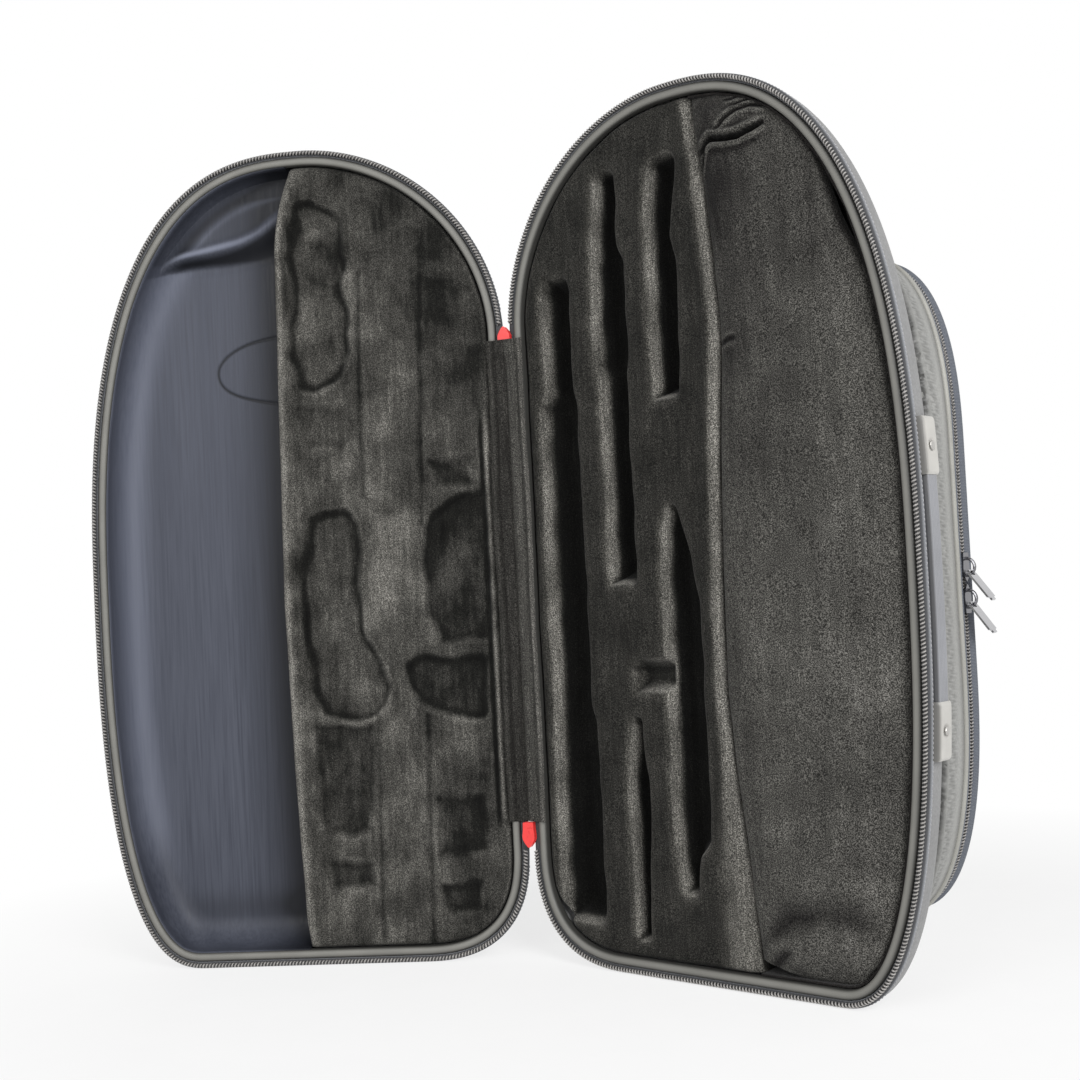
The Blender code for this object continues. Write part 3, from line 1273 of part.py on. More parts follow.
def build():
    """Build the whole case, open as a book."""
    workshop = Workshop()
    add_materials(workshop)
    outline = case_outline()
    pocket = pocket_outline()
    foot_middle = (FOOT_START + FOOT_END) / 2
    foot_depth = (LIP_DEPTH + BASE_DEPTH - BASE_FILLET) / 2
    axis_place = (-foot_middle, -foot_depth, 0)
    base_empty = workshop.empty("base_frame", axis_place)
    base = Frame(base_empty, (0, 0, 0), False)
    lid_empty = workshop.empty("lid_frame", axis_place, math.pi - OPEN_ANGLE)
    lid = Frame(lid_empty, (0, 0, 0), True)

    base_stations = build_half(workshop, "base", base, BASE_DEPTH, BASE_FILLET, outline)
    build_tray(workshop, base, base_stations)
    build_compartment(workshop, base, base_stations)
    build_cushion(workshop, base, outline)
    build_handle(workshop, base, base_stations)

    lid_stations = build_half(workshop, "lid", lid, LID_DEPTH, LID_FILLET, outline)
    build_pad(workshop, lid, lid_stations)
    build_lid_lining(workshop, lid, lid_stations)

    levels = pocket_levels()
    cover_axis = (POCKET_NEAR, levels["cover"][0] - SEAT_GAP, 0)
    cover_empty = workshop.empty("cover_frame", cover_axis, 0.0, base_empty)
    cover = Frame(cover_empty, cover_axis, False)
    coil_inset, _ = build_pocket(workshop, base, cover, outline, pocket)
    zip_middle = (levels["coil"] + levels["cover_coil"]) / 2
    coil_u = POCKET_FAR - coil_inset
    half_length = SLIDER_LENGTH / 2
    ends = (
        ("upper", UPPER_SLIDER_HEIGHT, -1, UPPER_PULL_ANGLE),
        ("lower", LOWER_SLIDER_HEIGHT, 1, LOWER_PULL_ANGLE),
    )
    for end, height, nose, angle in ends:
        slider_empty = workshop.empty(
            f"slider_{end}_frame", (coil_u, zip_middle, height), 0.0, base_empty)
        slider_frame = Frame(slider_empty, (coil_u, zip_middle, height), False)
        seat = (coil_u, zip_middle, height - nose * half_length)
        build_pocket_slider(workshop, end, slider_frame, seat, nose)
        build_pocket_pull(workshop, end, slider_frame, (coil_u, zip_middle, height), angle)
    main_ends = (
        ("upper", 1, LEAF_TOP + SEAT_GAP, (0, 0, -1)),
        ("lower", -1, LEAF_BOTTOM - SEAT_GAP, (0, 1, 0)),
    )
    for end, nose, tail_z, out in main_ends:
        middle = build_main_slider(workshop, end, base, nose, tail_z)
        pin_place = (0, MAIN_PIN_DISTANCE, middle)
        pull_empty = workshop.empty(f"main_pull_{end}_frame", pin_place, 0.0, base_empty)
        build_main_pull(workshop, end, Frame(pull_empty, pin_place, False), middle, out)
    bpy.context.view_layer.update()


build()
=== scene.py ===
"""Looks of an open zip case for a flute and a piccolo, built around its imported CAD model.

Each half is drawn in its own plan, as in the CAD: u runs from the hinge axis across the half,
d is the depth behind the plane where the two zip coils meet, z is the height. All in metres.
"""

import math

import bmesh
import bpy
import numpy as np
from mathutils import Matrix, Vector, kdtree
from mathutils.bvhtree import BVHTree


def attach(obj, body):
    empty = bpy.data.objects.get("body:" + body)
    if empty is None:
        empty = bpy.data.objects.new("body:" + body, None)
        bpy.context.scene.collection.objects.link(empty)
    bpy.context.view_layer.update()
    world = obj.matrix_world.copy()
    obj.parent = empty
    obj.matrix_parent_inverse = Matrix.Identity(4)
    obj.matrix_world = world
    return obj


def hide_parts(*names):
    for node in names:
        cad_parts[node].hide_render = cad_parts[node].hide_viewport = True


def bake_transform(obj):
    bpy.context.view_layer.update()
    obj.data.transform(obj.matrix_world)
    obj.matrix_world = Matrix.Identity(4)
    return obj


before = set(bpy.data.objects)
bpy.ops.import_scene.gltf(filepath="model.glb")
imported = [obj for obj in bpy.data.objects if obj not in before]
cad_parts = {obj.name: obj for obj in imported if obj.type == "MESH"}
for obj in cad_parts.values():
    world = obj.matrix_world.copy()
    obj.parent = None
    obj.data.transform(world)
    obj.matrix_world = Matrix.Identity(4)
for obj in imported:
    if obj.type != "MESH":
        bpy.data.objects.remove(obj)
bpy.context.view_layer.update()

MM = 0.001
CASE_HEIGHT = 0.480
CASE_WIDTH = 0.254
# The hinge axis seen from above, and the lid's turn at rest away from flat open
AXIS = (-0.130, -0.0085)
LID_TURN = math.radians(35.7)
# Soft parts start this far inside the case's outline
SOFT_INSET = 0.0088
# Heights between which the hinge side carries no coil, and those of the hinge strip
COIL_GAP = (0.0636, 0.3674)
STRIP_ENDS = (0.0792, 0.359)
# Steps along a quarter of an outline and along a straight run of it
QUARTER_STEPS = 300
RUN_STEPS = 60

# Plan geometry


def quarter(centre, reach, power, from_side):
    """Points of a quarter superellipse, from its side point or from its top point."""
    turn = np.linspace(0.0, math.pi / 2, QUARTER_STEPS + 1)
    if not from_side:
        turn = turn[::-1]
    across = np.abs(np.cos(turn)) ** (2 / power)
    along = np.abs(np.sin(turn)) ** (2 / power)
    return np.stack([centre[0] + reach[0] * across, centre[1] + reach[1] * along], axis=1)


def run_between(start, end):
    """Points of a straight run without its ends."""
    share = np.linspace(0.0, 1.0, RUN_STEPS + 1)[1:-1, None]
    return np.array(start) * (1 - share) + np.array(end) * share


def unit(rows):
    """Rows of vectors, each of length 1."""
    return rows / np.linalg.norm(rows, axis=1)[:, None]


def lengths(line):
    """How far along a line each of its points lies."""
    gaps = np.linalg.norm(np.diff(line, axis=0), axis=1)
    return np.concatenate([[0.0], np.cumsum(gaps)])


def resample(points, step, closed=True):
    """Points at equal steps along a line."""
    line = np.vstack([points, points[:1]]) if closed else points
    line = line[np.diff(lengths(line), prepend=-1.0) > 1e-9]
    length = lengths(line)
    count = max(3, int(round(length[-1] / step)))
    wanted = np.linspace(0.0, length[-1], count + 1)
    if closed:
        wanted = wanted[:-1]
    return np.stack([np.interp(wanted, length, line[:, k]) for k in (0, 1)], axis=1)


def normals_in(points):
    """Unit normals that point into a closed clockwise outline."""
    along = unit(np.roll(points, -1, axis=0) - np.roll(points, 1, axis=0))
    return np.stack([along[:, 1], -along[:, 0]], axis=1)


def case_outline():
    """Outline of a half, clockwise from halfway up the hinge side."""
    middle = (0.0018, 0.214)
    return np.vstack([
        [middle], run_between(middle, (0.0018, 0.363)),
        quarter((0.118, 0.363), (-0.1162, 0.117), 1.95, True),
        quarter((0.118, 0.221), (0.136, 0.259), 2.55, False)[1:],
        quarter((0.195, 0.221), (0.059, -0.221), 2.60, True)[1:],
        run_between((0.195, 0.0), (0.065, 0.0)),
        quarter((0.065, 0.065), (-0.0632, -0.065), 2.50, False),
        run_between((0.0018, 0.065), middle),
    ])


def pocket_outline():
    """Outline of the pocket, clockwise from halfway up its spine side."""
    near, far, low, high = 0.014, 0.2485, 0.037, 0.376
    middle = (near, (low + high) / 2)
    return np.vstack([
        [middle], run_between(middle, (near, high - 0.034)),
        quarter((near + 0.034, high - 0.034), (-0.034, 0.034), 2.6, True),
        run_between((near + 0.034, high), (far - 0.0485, high)),
        quarter((far - 0.0485, 0.273), (0.0485, high - 0.273), 2.6, False),
        run_between((far, 0.273), (far, 0.168)),
        quarter((far - 0.0485, 0.168), (0.0485, low - 0.168), 2.6, True),
        run_between((far - 0.0485, low), (near + 0.034, low)),
        quarter((near + 0.034, low + 0.034), (-0.034, -0.034), 2.6, False),
        run_between((near, low + 0.034), middle),
    ])


def place(points, half):
    """Plan points (u, d, z) of a half in the world."""
    u, d, z = points[:, 0], points[:, 1], points[:, 2]
    if half == "base":
        return np.stack([AXIS[0] + u, AXIS[1] + d, z], axis=1)
    cos, sin = math.cos(LID_TURN), math.sin(LID_TURN)
    return np.stack([AXIS[0] - u * cos - d * sin, AXIS[1] - u * sin + d * cos, z], axis=1)


def wave_noise(u, z, size, seed):
    """Smooth seeded noise between about -1 and 1 with features of a size."""
    rng = np.random.default_rng(seed)
    waves = 7
    total = np.zeros_like(u)
    for _ in range(waves):
        turn = rng.uniform(0, 2 * math.pi)
        pitch = size * rng.uniform(0.7, 1.5)
        phase = rng.uniform(0, 2 * math.pi)
        total += np.sin(2 * math.pi * (u * math.cos(turn) + z * math.sin(turn)) / pitch + phase)
    return total / math.sqrt(waves)


def smooth_step(value, start, end):
    """0 before start, 1 after end, and smooth between."""
    share = np.clip((value - start) / (end - start), 0.0, 1.0)
    return share * share * (3 - 2 * share)


def bell(value, middle, half_width):
    """A smooth bump."""
    return np.exp(-((value - middle) / half_width) ** 2)


# Mesh building


def grid_faces(rows, columns, wrap_rows=False, wrap_columns=False):
    """Quads of a grid whose points are numbered row by row."""
    row = np.arange(rows if wrap_rows else rows - 1)
    column = np.arange(columns if wrap_columns else columns - 1)
    row, column = np.meshgrid(row, column, indexing="ij")
    after_row = (row + 1) % rows
    after_column = (column + 1) % columns
    quads = np.stack([
        row * columns + column, row * columns + after_column,
        after_row * columns + after_column, after_row * columns + column], axis=-1)
    return quads.reshape(-1, 4).tolist()


def rod_faces(rows, columns, closed=False):
    """Quads round a rod whose rings are numbered one after another, and its two ends."""
    faces = grid_faces(rows, columns, closed, True)
    if not closed:
        faces.append(list(range(columns))[::-1])
        faces.append([(rows - 1) * columns + i for i in range(columns)])
    return faces


def stations(points, normals, section):
    """A section of (inset, depth) set at each station of an outline."""
    inset = section[..., 0]
    u = points[:, None, 0] + normals[:, None, 0] * inset
    z = points[:, None, 1] + normals[:, None, 1] * inset
    depth = np.broadcast_to(section[..., 1], u.shape)
    return np.stack([u, depth, z], axis=-1).reshape(-1, 3)


def sweep(points, normals, section, closed=True):
    """Run a closed section along the stations of an outline."""
    faces = rod_faces(len(points), section.shape[-2], closed)
    return stations(points, normals, section), faces


def dish(points, normals, rings):
    """Run an open chain of (inset, depth) round an outline and fill its two ends."""
    columns = len(rings)
    faces = grid_faces(len(points), columns, True, False)
    first = [i * columns for i in range(len(points))]
    faces.append(first)
    faces.append([i + columns - 1 for i in first[::-1]])
    return stations(points, normals, rings), faces


def wire(path, out, radius, sides):
    """Points of a round wire along a path, numbered ring by ring from its outer side."""
    along = unit(np.gradient(path, axis=0))
    side = unit(np.cross(along, out))
    front = np.cross(side, along)
    turn = np.linspace(0, 2 * math.pi, sides, endpoint=False)
    ring = (side[:, None, :] * np.cos(turn)[None, :, None]
            + front[:, None, :] * np.sin(turn)[None, :, None])
    return (path[:, None, :] + ring * radius).reshape(-1, 3)


def coil(points, normals, sizes_mm):
    """A zip coil: a wire wound round a cord that runs along an open outline.

    The sizes are inset, depth, radius of the winding and of the wire, and pitch. It comes with
    its painted shade, which is 0 on the wire and 1, dark, on the cord inside, standing in for
    the shade between the turns.
    """
    inset, depth, radius, thick, pitch = np.array(sizes_mm) * MM
    length = lengths(points)
    per_turn, sides, core_sides = 11, 6, 8
    steps = np.arange(int(length[-1] / pitch) * per_turn + 1)
    where = steps * pitch / per_turn
    base = [np.interp(where, length, points[:, k]) for k in (0, 1)]
    inward = unit(np.stack([np.interp(where, length, normals[:, k]) for k in (0, 1)], axis=1))
    phase = 2 * math.pi * steps / per_turn
    out = np.stack([inward[:, 0] * np.cos(phase), np.sin(phase),
                    inward[:, 1] * np.cos(phase)], axis=1)
    centre = np.stack([base[0] + inward[:, 0] * inset, np.full(len(steps), depth),
                       base[1] + inward[:, 1] * inset], axis=1)
    winding = wire(centre + out * radius, out, thick, sides)
    core = wire(centre[::4], (0.0, 1.0, 0.0), radius * 0.80, core_sides)
    faces = rod_faces(len(steps), sides)
    faces += [[len(winding) + i for i in face]
              for face in rod_faces(len(core) // core_sides, core_sides)]
    painted_shading = np.concatenate([np.zeros(len(winding)), np.ones(len(core))])
    return (np.vstack([winding, core]), faces), painted_shading


def stitches(points, normals, sizes_mm):
    """Short rounded stitches along an outline.

    The sizes are inset, depth, length, thickness, pitch and slant.
    """
    inset, depth, length, thick, pitch, slant = np.array(sizes_mm) * MM
    total = lengths(points)
    count = int(total[-1] / pitch)
    rings = sides = 6
    share = np.linspace(-0.5, 0.5, rings)
    arch = 1 - (2 * share) ** 2
    swell = thick * (np.sqrt(np.clip(arch, 0.0, 1.0)) + 0.12)[None, :, None]
    turn = np.linspace(0, 2 * math.pi, sides, endpoint=False)
    along = ((np.arange(count) + 0.5) * pitch)[:, None] + share[None, :] * length
    u, z = (np.interp(along, total, points[:, k])[..., None] for k in (0, 1))
    in_u, in_z = (np.interp(along, total, normals[:, k])[..., None] for k in (0, 1))
    reach = inset - (arch * thick * 0.6)[None, :, None] + np.cos(turn) * swell
    deep = depth + (share * slant)[None, :, None] + np.sin(turn) * swell
    deep = np.broadcast_to(deep, (count, rings, sides))
    cloud = np.stack([u + in_u * reach, deep, z + in_z * reach], axis=-1).reshape(-1, 3)
    stitch = rod_faces(rings, sides)
    faces = [[start + i for i in face] for start in range(0, len(cloud), rings * sides)
             for face in stitch]
    return cloud, faces


def foam_block(front, left_rear, right_rear, painted_shading):
    """Close a grid of front points into a solid with a plain back, and its painted shade and
    highlight with it.

    left_rear and right_rear are the depths of the back behind the first and last column.
    """
    left, right = front[:, :1].copy(), front[:, -1:].copy()
    left[..., 1] = left_rear
    right[..., 1] = right_rear
    cloud = np.concatenate([front, right, left], axis=1)
    painted_shading = np.pad(np.clip(painted_shading, 0, 1), ((0, 0), (0, 2)))
    return (cloud.reshape(-1, 3), rod_faces(*painted_shading.shape)), painted_shading.ravel()


def closed_skin(front, thick):
    """Close a grid of points with a copy of it, moved back along its normals."""
    out = np.cross(np.gradient(front, axis=0), np.gradient(front, axis=1))
    out /= np.maximum(np.linalg.norm(out, axis=-1), 1e-12)[..., None]
    out *= np.sign(out[:, :-8, 1].mean())
    cloud = np.concatenate([front, (front + out * thick)[:, ::-1]], axis=1)
    rows, wide = cloud.shape[:2]
    faces = grid_faces(rows, wide, False, True)
    for first in (0, (rows - 1) * wide):
        last = first + wide - 1
        faces += [[first + i, first + i + 1, last - i - 1, last - i]
                  for i in range(wide // 2 - 1)]
    return cloud.reshape(-1, 3), faces


def make_object(name, points, faces, painted_shading=None):
    """A smooth mesh object with its faces turned outwards. Its points carry painted shade and
    highlight; points past the given values carry 0.
    """
    mesh = bpy.data.meshes.new(name)
    mesh.from_pydata(points.tolist(), [], faces)
    skin = bmesh.new()
    skin.from_mesh(mesh)
    bmesh.ops.recalc_face_normals(skin, faces=skin.faces)
    skin.to_mesh(mesh)
    skin.free()
    mesh.shade_smooth()
    if painted_shading is not None:
        values = np.zeros(len(points), dtype=np.float32)
        values[:len(painted_shading)] = painted_shading
        mesh.attributes.new("painted_shading", "FLOAT", "POINT").data.foreach_set("value", values)
    item = bpy.data.objects.new(name, mesh)
    bpy.context.scene.collection.objects.link(item)
    return item


def piece(name, shape, half, material, body, nodes, sharp=None, painted_shading=None):
    """Place points and faces in a half, with a material, a body and the nodes replaced."""
    points, faces = shape
    item = make_object(name, place(points, half), faces, painted_shading)
    item.data.materials.append(material)
    if sharp is not None:
        item.data.set_sharp_from_angle(angle=math.radians(sharp))
    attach(item, body)
    if nodes:
        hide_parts(*nodes)
    return item


# Materials


def fill(tree, socket, source):
    """Link a source into a socket, or give the socket a value or a colour."""
    if isinstance(source, bpy.types.NodeSocket):
        tree.links.new(source, socket)
    elif socket.type == "RGBA":
        socket.default_value = (*source, 1.0)
    else:
        socket.default_value = source


def add_node(tree, kind, inputs, **settings):
    """Add a shader node with its settings and its inputs, given by name or number."""
    node = tree.nodes.new("ShaderNode" + kind)
    for name, value in settings.items():
        setattr(node, name, value)
    for key, source in inputs.items():
        fill(tree, node.inputs[key], source)
    return node


class Material:
    """A Principled material whose nodes are added step by step."""

    def __init__(self, name, roughness=0.5, metallic=0.0):
        self.material = bpy.data.materials.new(name)
        self.material.use_nodes = True
        self.tree = self.material.node_tree
        self.shader = self.tree.nodes["Principled BSDF"]
        self.set("Roughness", roughness)
        self.set("Metallic", metallic)
        self.place = self.add("TexCoord", {}).outputs["Object"]
        self.bumps = {}

    def add(self, kind, inputs, **settings):
        """Add a node to this material."""
        return add_node(self.tree, kind, inputs, **settings)

    def set(self, name, source):
        """Set or link one socket of the shader."""
        fill(self.tree, self.shader.inputs[name], source)

    def noise(self, scale, detail, roughness, stretch=None, distortion=0.0):
        """A noise value, on coordinates that may be scaled along each axis."""
        where = self.place
        if stretch:
            where = self.add("Mapping", {"Vector": where, "Scale": stretch}).outputs["Vector"]
        return self.add("TexNoise", {
            "Vector": where, "Scale": scale, "Detail": detail, "Roughness": roughness,
            "Distortion": distortion}).outputs["Fac"]

    def painted_shading(self):
        """The painted shade and highlight stored on the mesh."""
        return self.add("Attribute", {}, attribute_name="painted_shading").outputs["Fac"]

    def cells(self, scale):
        """A Voronoi distance."""
        inputs = {"Vector": self.place, "Scale": scale}
        return self.add("TexVoronoi", inputs).outputs["Distance"]

    def wave(self, scale, direction, distortion):
        """A band pattern."""
        inputs = {"Vector": self.place, "Scale": scale, "Distortion": distortion,
                  "Detail": 1.0}
        return self.add("TexWave", inputs, bands_direction=direction).outputs["Fac"]

    def ramp(self, source, *stops):
        """Map a value through (position, value or colour) stops."""
        node = self.add("ValToRGB", {"Fac": source})
        while len(node.color_ramp.elements) < len(stops):
            node.color_ramp.elements.new(0.5)
        for element, (position, value) in zip(node.color_ramp.elements, stops):
            element.position = position
            colour = value if isinstance(value, tuple) else (value, value, value)
            element.color = (*colour, 1.0)
        return node.outputs["Color"]

    def mix(self, share, first, second):
        """Mix two colours."""
        inputs = {0: share, 6: first, 7: second}
        return self.add("Mix", inputs, data_type="RGBA").outputs[2]

    def shift(self, source, start, end, first, second, most=1.0):
        """Go from one colour towards another while a value rises from start to end."""
        return self.mix(self.ramp(source, (start, 0.0), (end, most)), first, second)

    def math(self, kind, first, second):
        """A plain operation on two values."""
        return self.add("Math", {0: first, 1: second}, operation=kind).outputs["Value"]

    def rough(self, source, start, end, low, high):
        """Let the roughness follow a value."""
        self.set("Roughness", self.ramp(source, (start, low), (end, high)))

    def bump(self, height, strength, distance_mm):
        """Add a bump on top of the earlier ones."""
        inputs = {"Height": height, "Strength": strength, "Distance": distance_mm * MM}
        node = self.add("Bump", inputs | self.bumps)
        self.bumps = {"Normal": node.outputs["Normal"]}
        self.set("Normal", node.outputs["Normal"])


def srgb(red, green, blue):
    """A colour given from 0 to 255 as linear values."""
    values = []
    for value in (red, green, blue):
        value /= 255
        values.append(value / 12.92 if value <= 0.04045 else ((value + 0.055) / 1.055) ** 2.4)
    return tuple(values)


def scaled(tone, factor):
    """A colour made darker or lighter."""
    return tuple(min(1.0, value * factor) for value in tone)


def velour(name, dark, middle, light, patch, rib, mottle, plain=False, grit=1.0):
    """Short pile with random mottling, and painted shade and highlight from the mesh.

    The mesh stores the painted shading, from 0, painted shade in hollows and where the pile is
    pressed, over 0.5, plain, to 1, painted highlight on the crests.
    """
    cloth = Material(name, 0.95)
    patches = cloth.noise(patch, 4.0, 0.60, distortion=0.4)
    streaks = cloth.noise(patch * 7, 3.0, 0.6, (1, 1, 0.16))
    fibres = cloth.noise(1250.0, 2.0, 0.7)
    grains = cloth.noise(1700.0, 2.0, 0.6)
    ribs = cloth.noise(900.0, 1.0, 0.5, (1, 1, 0.05))
    mottle_and_painted_shading = cloth.math("MULTIPLY", cloth.math("SUBTRACT", patches, 0.5), mottle * 2)
    mottle_and_painted_shading = cloth.math("ADD", mottle_and_painted_shading, cloth.math(
        "MULTIPLY", cloth.math("SUBTRACT", streaks, 0.5), mottle * 1.1))
    # Painted shade and highlight from the mesh are added to the random mottling; the lighter
    # fibre specks follow them.
    mottle_and_painted_shading = cloth.math("ADD", mottle_and_painted_shading, 0.45 if plain else cloth.painted_shading())

    def pile(share):
        stops = ((0.0, dark, 0.35), (0.25, dark, 1.0), (0.55, middle, 1.0), (1.0, light, 1.0))
        return cloth.ramp(mottle_and_painted_shading, *((position, scaled(tone, part * share))
                                 for position, tone, part in stops))

    base = cloth.shift(grains, 0.42, 0.70, pile(0.40 / grit), pile(2.60 * grit))
    base = cloth.mix(cloth.math("MULTIPLY", cloth.ramp(ribs, (0.42, 0.0), (0.60, 1.0)), rib),
                     base, pile(0.55))
    speck = cloth.ramp(fibres, (0.66, 0.0), (0.76, 0.60))
    base = cloth.mix(cloth.math("MULTIPLY", speck, cloth.ramp(mottle_and_painted_shading, (0.1, 0.15), (0.6, 1.0))),
                     base, scaled(light, 2.0))
    cloth.set("Base Color", base)
    cloth.set("Specular IOR Level", 0.12)
    cloth.set("Sheen Weight", 0.06)
    cloth.set("Sheen Roughness", 0.40)
    cloth.bump(ribs, rib, 0.35)
    cloth.bump(grains, 0.60, 0.7)
    cloth.bump(fibres, 0.55, 0.35)
    return cloth.material


def leatherette(name, tone):
    """Fine grained coated cloth, darkened where the mesh carries painted shade."""
    grain, depth_mm, roughness = 900.0, 0.25, 0.5
    skin = Material(name, roughness)
    pebbles = skin.cells(grain)
    creases = skin.noise(grain * 0.35, 4.0, 0.6)
    shades = skin.noise(18.0, 3.0, 0.5)
    base = skin.shift(shades, 0.35, 0.70, scaled(tone, 0.86), tone)
    base = skin.shift(pebbles, 0.25, 0.75, base, scaled(tone, 0.70), 0.55)
    # Painted shade from the mesh darkens crevices, wrinkle valleys and grooves.
    skin.set("Base Color", skin.mix(skin.painted_shading(), base, scaled(tone, 0.08)))
    skin.rough(creases, 0.30, 0.70, roughness - 0.08, roughness + 0.12)
    skin.bump(pebbles, -0.35, depth_mm)
    skin.bump(creases, 0.25, depth_mm)
    return skin.material


def smooth_skin(name, tone, roughness):
    """Smooth coated binding or moulded tab with faint mottling, darkened where the mesh carries
    painted shade.
    """
    skin = Material(name, roughness)
    shades = skin.noise(60.0, 3.0, 0.5)
    fine = skin.noise(1600.0, 2.0, 0.5)
    base = skin.shift(shades, 0.35, 0.65, scaled(tone, 0.88), tone)
    # Painted shade from the mesh: dark edges on the rim band and strap, and the tabs' shaded
    # front faces.
    skin.set("Base Color", skin.mix(skin.painted_shading(), base, scaled(tone, 0.10)))
    skin.rough(fine, 0.30, 0.70, roughness - 0.05, roughness + 0.10)
    skin.bump(fine, 0.12, 0.12)
    return skin.material


def woven(name, tone, other):
    """Woven tape: rows of small threads, darkened where the mesh carries painted shade."""
    scale = 420.0
    tape = Material(name, 0.85)
    warp = tape.wave(scale, "Z", 0.6)
    weft = tape.wave(scale * 1.6, "DIAGONAL", 0.8)
    threads = tape.math("MULTIPLY", warp, weft)
    fuzz = tape.noise(900.0, 2.0, 0.6)
    base = tape.shift(threads, 0.10, 0.60, tone, other)
    base = tape.shift(fuzz, 0.40, 0.70, base, tone, 0.35)
    # Painted shade from the mesh darkens the tape round the coil.
    tape.set("Base Color", tape.mix(tape.painted_shading(), base, scaled(tone, 0.12)))
    tape.bump(threads, 0.5, 0.35)
    tape.bump(fuzz, 0.25, 0.2)
    return tape.material


def metal(name, tone, roughness, scratch=0.05):
    """Polished metal with faint wear."""
    plate = Material(name, roughness, 1.0)
    wear = plate.noise(240.0, 4.0, 0.6)
    plate.set("Base Color", plate.shift(wear, 0.35, 0.75, tone, scaled(tone, 0.82), 0.35))
    plate.rough(wear, 0.30, 0.75, roughness, roughness + 0.12)
    plate.bump(wear, scratch, 0.05)
    return plate.material


def enamel(name, tone):
    """Red lacquer, a little uneven."""
    paint = Material(name, 0.32)
    shades = paint.noise(300.0, 3.0, 0.5)
    paint.set("Base Color", paint.shift(shades, 0.35, 0.70, scaled(tone, 0.85), tone))
    paint.rough(shades, 0.30, 0.75, 0.24, 0.42)
    paint.bump(shades, 0.10, 0.1)
    return paint.material


def satin(name, tone, dark):
    """Smooth blue-grey lining with fine upright streaks, and painted shade and highlight from
    the mesh.
    """
    cloth = Material(name, 0.42)
    streaks = cloth.noise(700.0, 3.0, 0.6, (1, 1, 0.03))
    broad = cloth.noise(90.0, 3.0, 0.5, (1, 1, 0.06))
    fine = cloth.noise(1500.0, 2.0, 0.5)
    base = cloth.mix(cloth.ramp(streaks, (0.30, 0.55), (0.62, 0.0)), tone, dark)
    base = cloth.mix(cloth.ramp(broad, (0.35, 0.30), (0.65, 0.0)), base, dark)
    # Painted shade from the mesh darkens the colour; negative values lighten it as painted
    # highlight.
    for factor, shade in ((0.92, scaled(dark, 0.12)), (-0.6, scaled(tone, 3.4))):
        base = cloth.mix(cloth.math("MULTIPLY", cloth.painted_shading(), factor), base, shade)
    cloth.set("Base Color", base)
    cloth.rough(streaks, 0.30, 0.70, 0.40, 0.58)
    cloth.set("Specular IOR Level", 0.20)
    cloth.bump(streaks, 0.16, 0.15)
    cloth.bump(fine, 0.10, 0.10)
    return cloth.material


def coil_nylon(name, tone):
    """Dark glossy nylon of a zip coil, with painted shade on the cord inside the winding."""
    nylon = Material(name, 0.26)
    shades = nylon.noise(500.0, 2.0, 0.5)
    base = nylon.shift(shades, 0.35, 0.70, scaled(tone, 0.6), tone)
    # Painted shade from the mesh turns the cord nearly black, standing in for the shade between
    # the turns.
    nylon.set("Base Color", nylon.mix(nylon.painted_shading(), base, scaled(tone, 0.04)))
    nylon.rough(shades, 0.30, 0.75, 0.20, 0.38)
    return nylon.material


SHELL_SKIN = leatherette("shell_leatherette", srgb(137, 137, 137))
POCKET_SKIN = leatherette("pocket_leatherette", srgb(153, 153, 150))
RIM_SKIN = smooth_skin("rim_band_skin", srgb(112, 111, 106), 0.55)
TAPE = woven("zip_tape_weave", srgb(140, 142, 147), srgb(162, 164, 168))
DARK_TAPE = woven("zip_tape_dark", srgb(76, 80, 88), srgb(120, 124, 132))
COIL = coil_nylon("zip_coil_nylon", srgb(158, 155, 152))
THREAD = smooth_skin("stitch_thread", srgb(168, 168, 170), 0.7)
TRAY_VELOUR = velour(
    "tray_velour", srgb(23, 23, 21), srgb(50, 49, 46), srgb(108, 106, 101), 30.0, 0.45, 0.22,
    grit=1.30)
CUSHION_VELOUR = velour(
    "cushion_velour", srgb(26, 25, 24), srgb(64, 63, 60), srgb(112, 110, 106), 16.0, 0.25, 0.26,
    grit=1.45)
PAD_VELOUR = velour(
    "pad_velour", srgb(24, 24, 22), srgb(60, 59, 56), srgb(112, 110, 105), 40.0, 0.30, 0.40)
# A plain darker copy of the velour: painted shade for the compartment lining in the cushion's
# shadow.
DARK_VELOUR = velour(
    "compartment_velour", srgb(20, 19, 19), srgb(36, 34, 33), srgb(60, 58, 56), 26.0, 0.3, 0.2,
    True)
STRIP_CLOTH = velour(
    "hinge_cloth", srgb(34, 33, 31), srgb(61, 60, 57), srgb(100, 98, 94), 14.0, 0.55, 0.18,
    grit=1.15)
LINING = satin("lining_satin", srgb(73, 76, 86), srgb(46, 49, 59))
PIPING = smooth_skin("piping_skin", srgb(150, 149, 143), 0.5)
STRAP = smooth_skin("strap_skin", srgb(136, 137, 141), 0.42)
TAB = smooth_skin("tab_skin", srgb(184, 182, 177), 0.38)
CHROME = metal("chrome_plate", srgb(128, 128, 131), 0.12)
PULL_METAL = metal("pull_metal", srgb(186, 186, 188), 0.16)
RIVET = metal("rivet_metal", srgb(190, 188, 184), 0.30, 0.2)
RED = enamel("red_enamel", srgb(226, 58, 56))

# Outlines

RING = resample(case_outline(), 1.5 * MM)
RING_IN = normals_in(RING)
POCKET = resample(pocket_outline(), 1.6 * MM)
POCKET_IN = normals_in(POCKET)


def open_run(points, normals, keep):
    """The one stretch of a closed outline where keep is true."""
    start = next(i for i in range(len(points)) if keep[i] and not keep[i - 1])
    order = [(start + i) % len(points) for i in range(len(points))]
    count = next(i for i, index in enumerate(order) if not keep[index])
    order = order[:count]
    return points[order], normals[order]


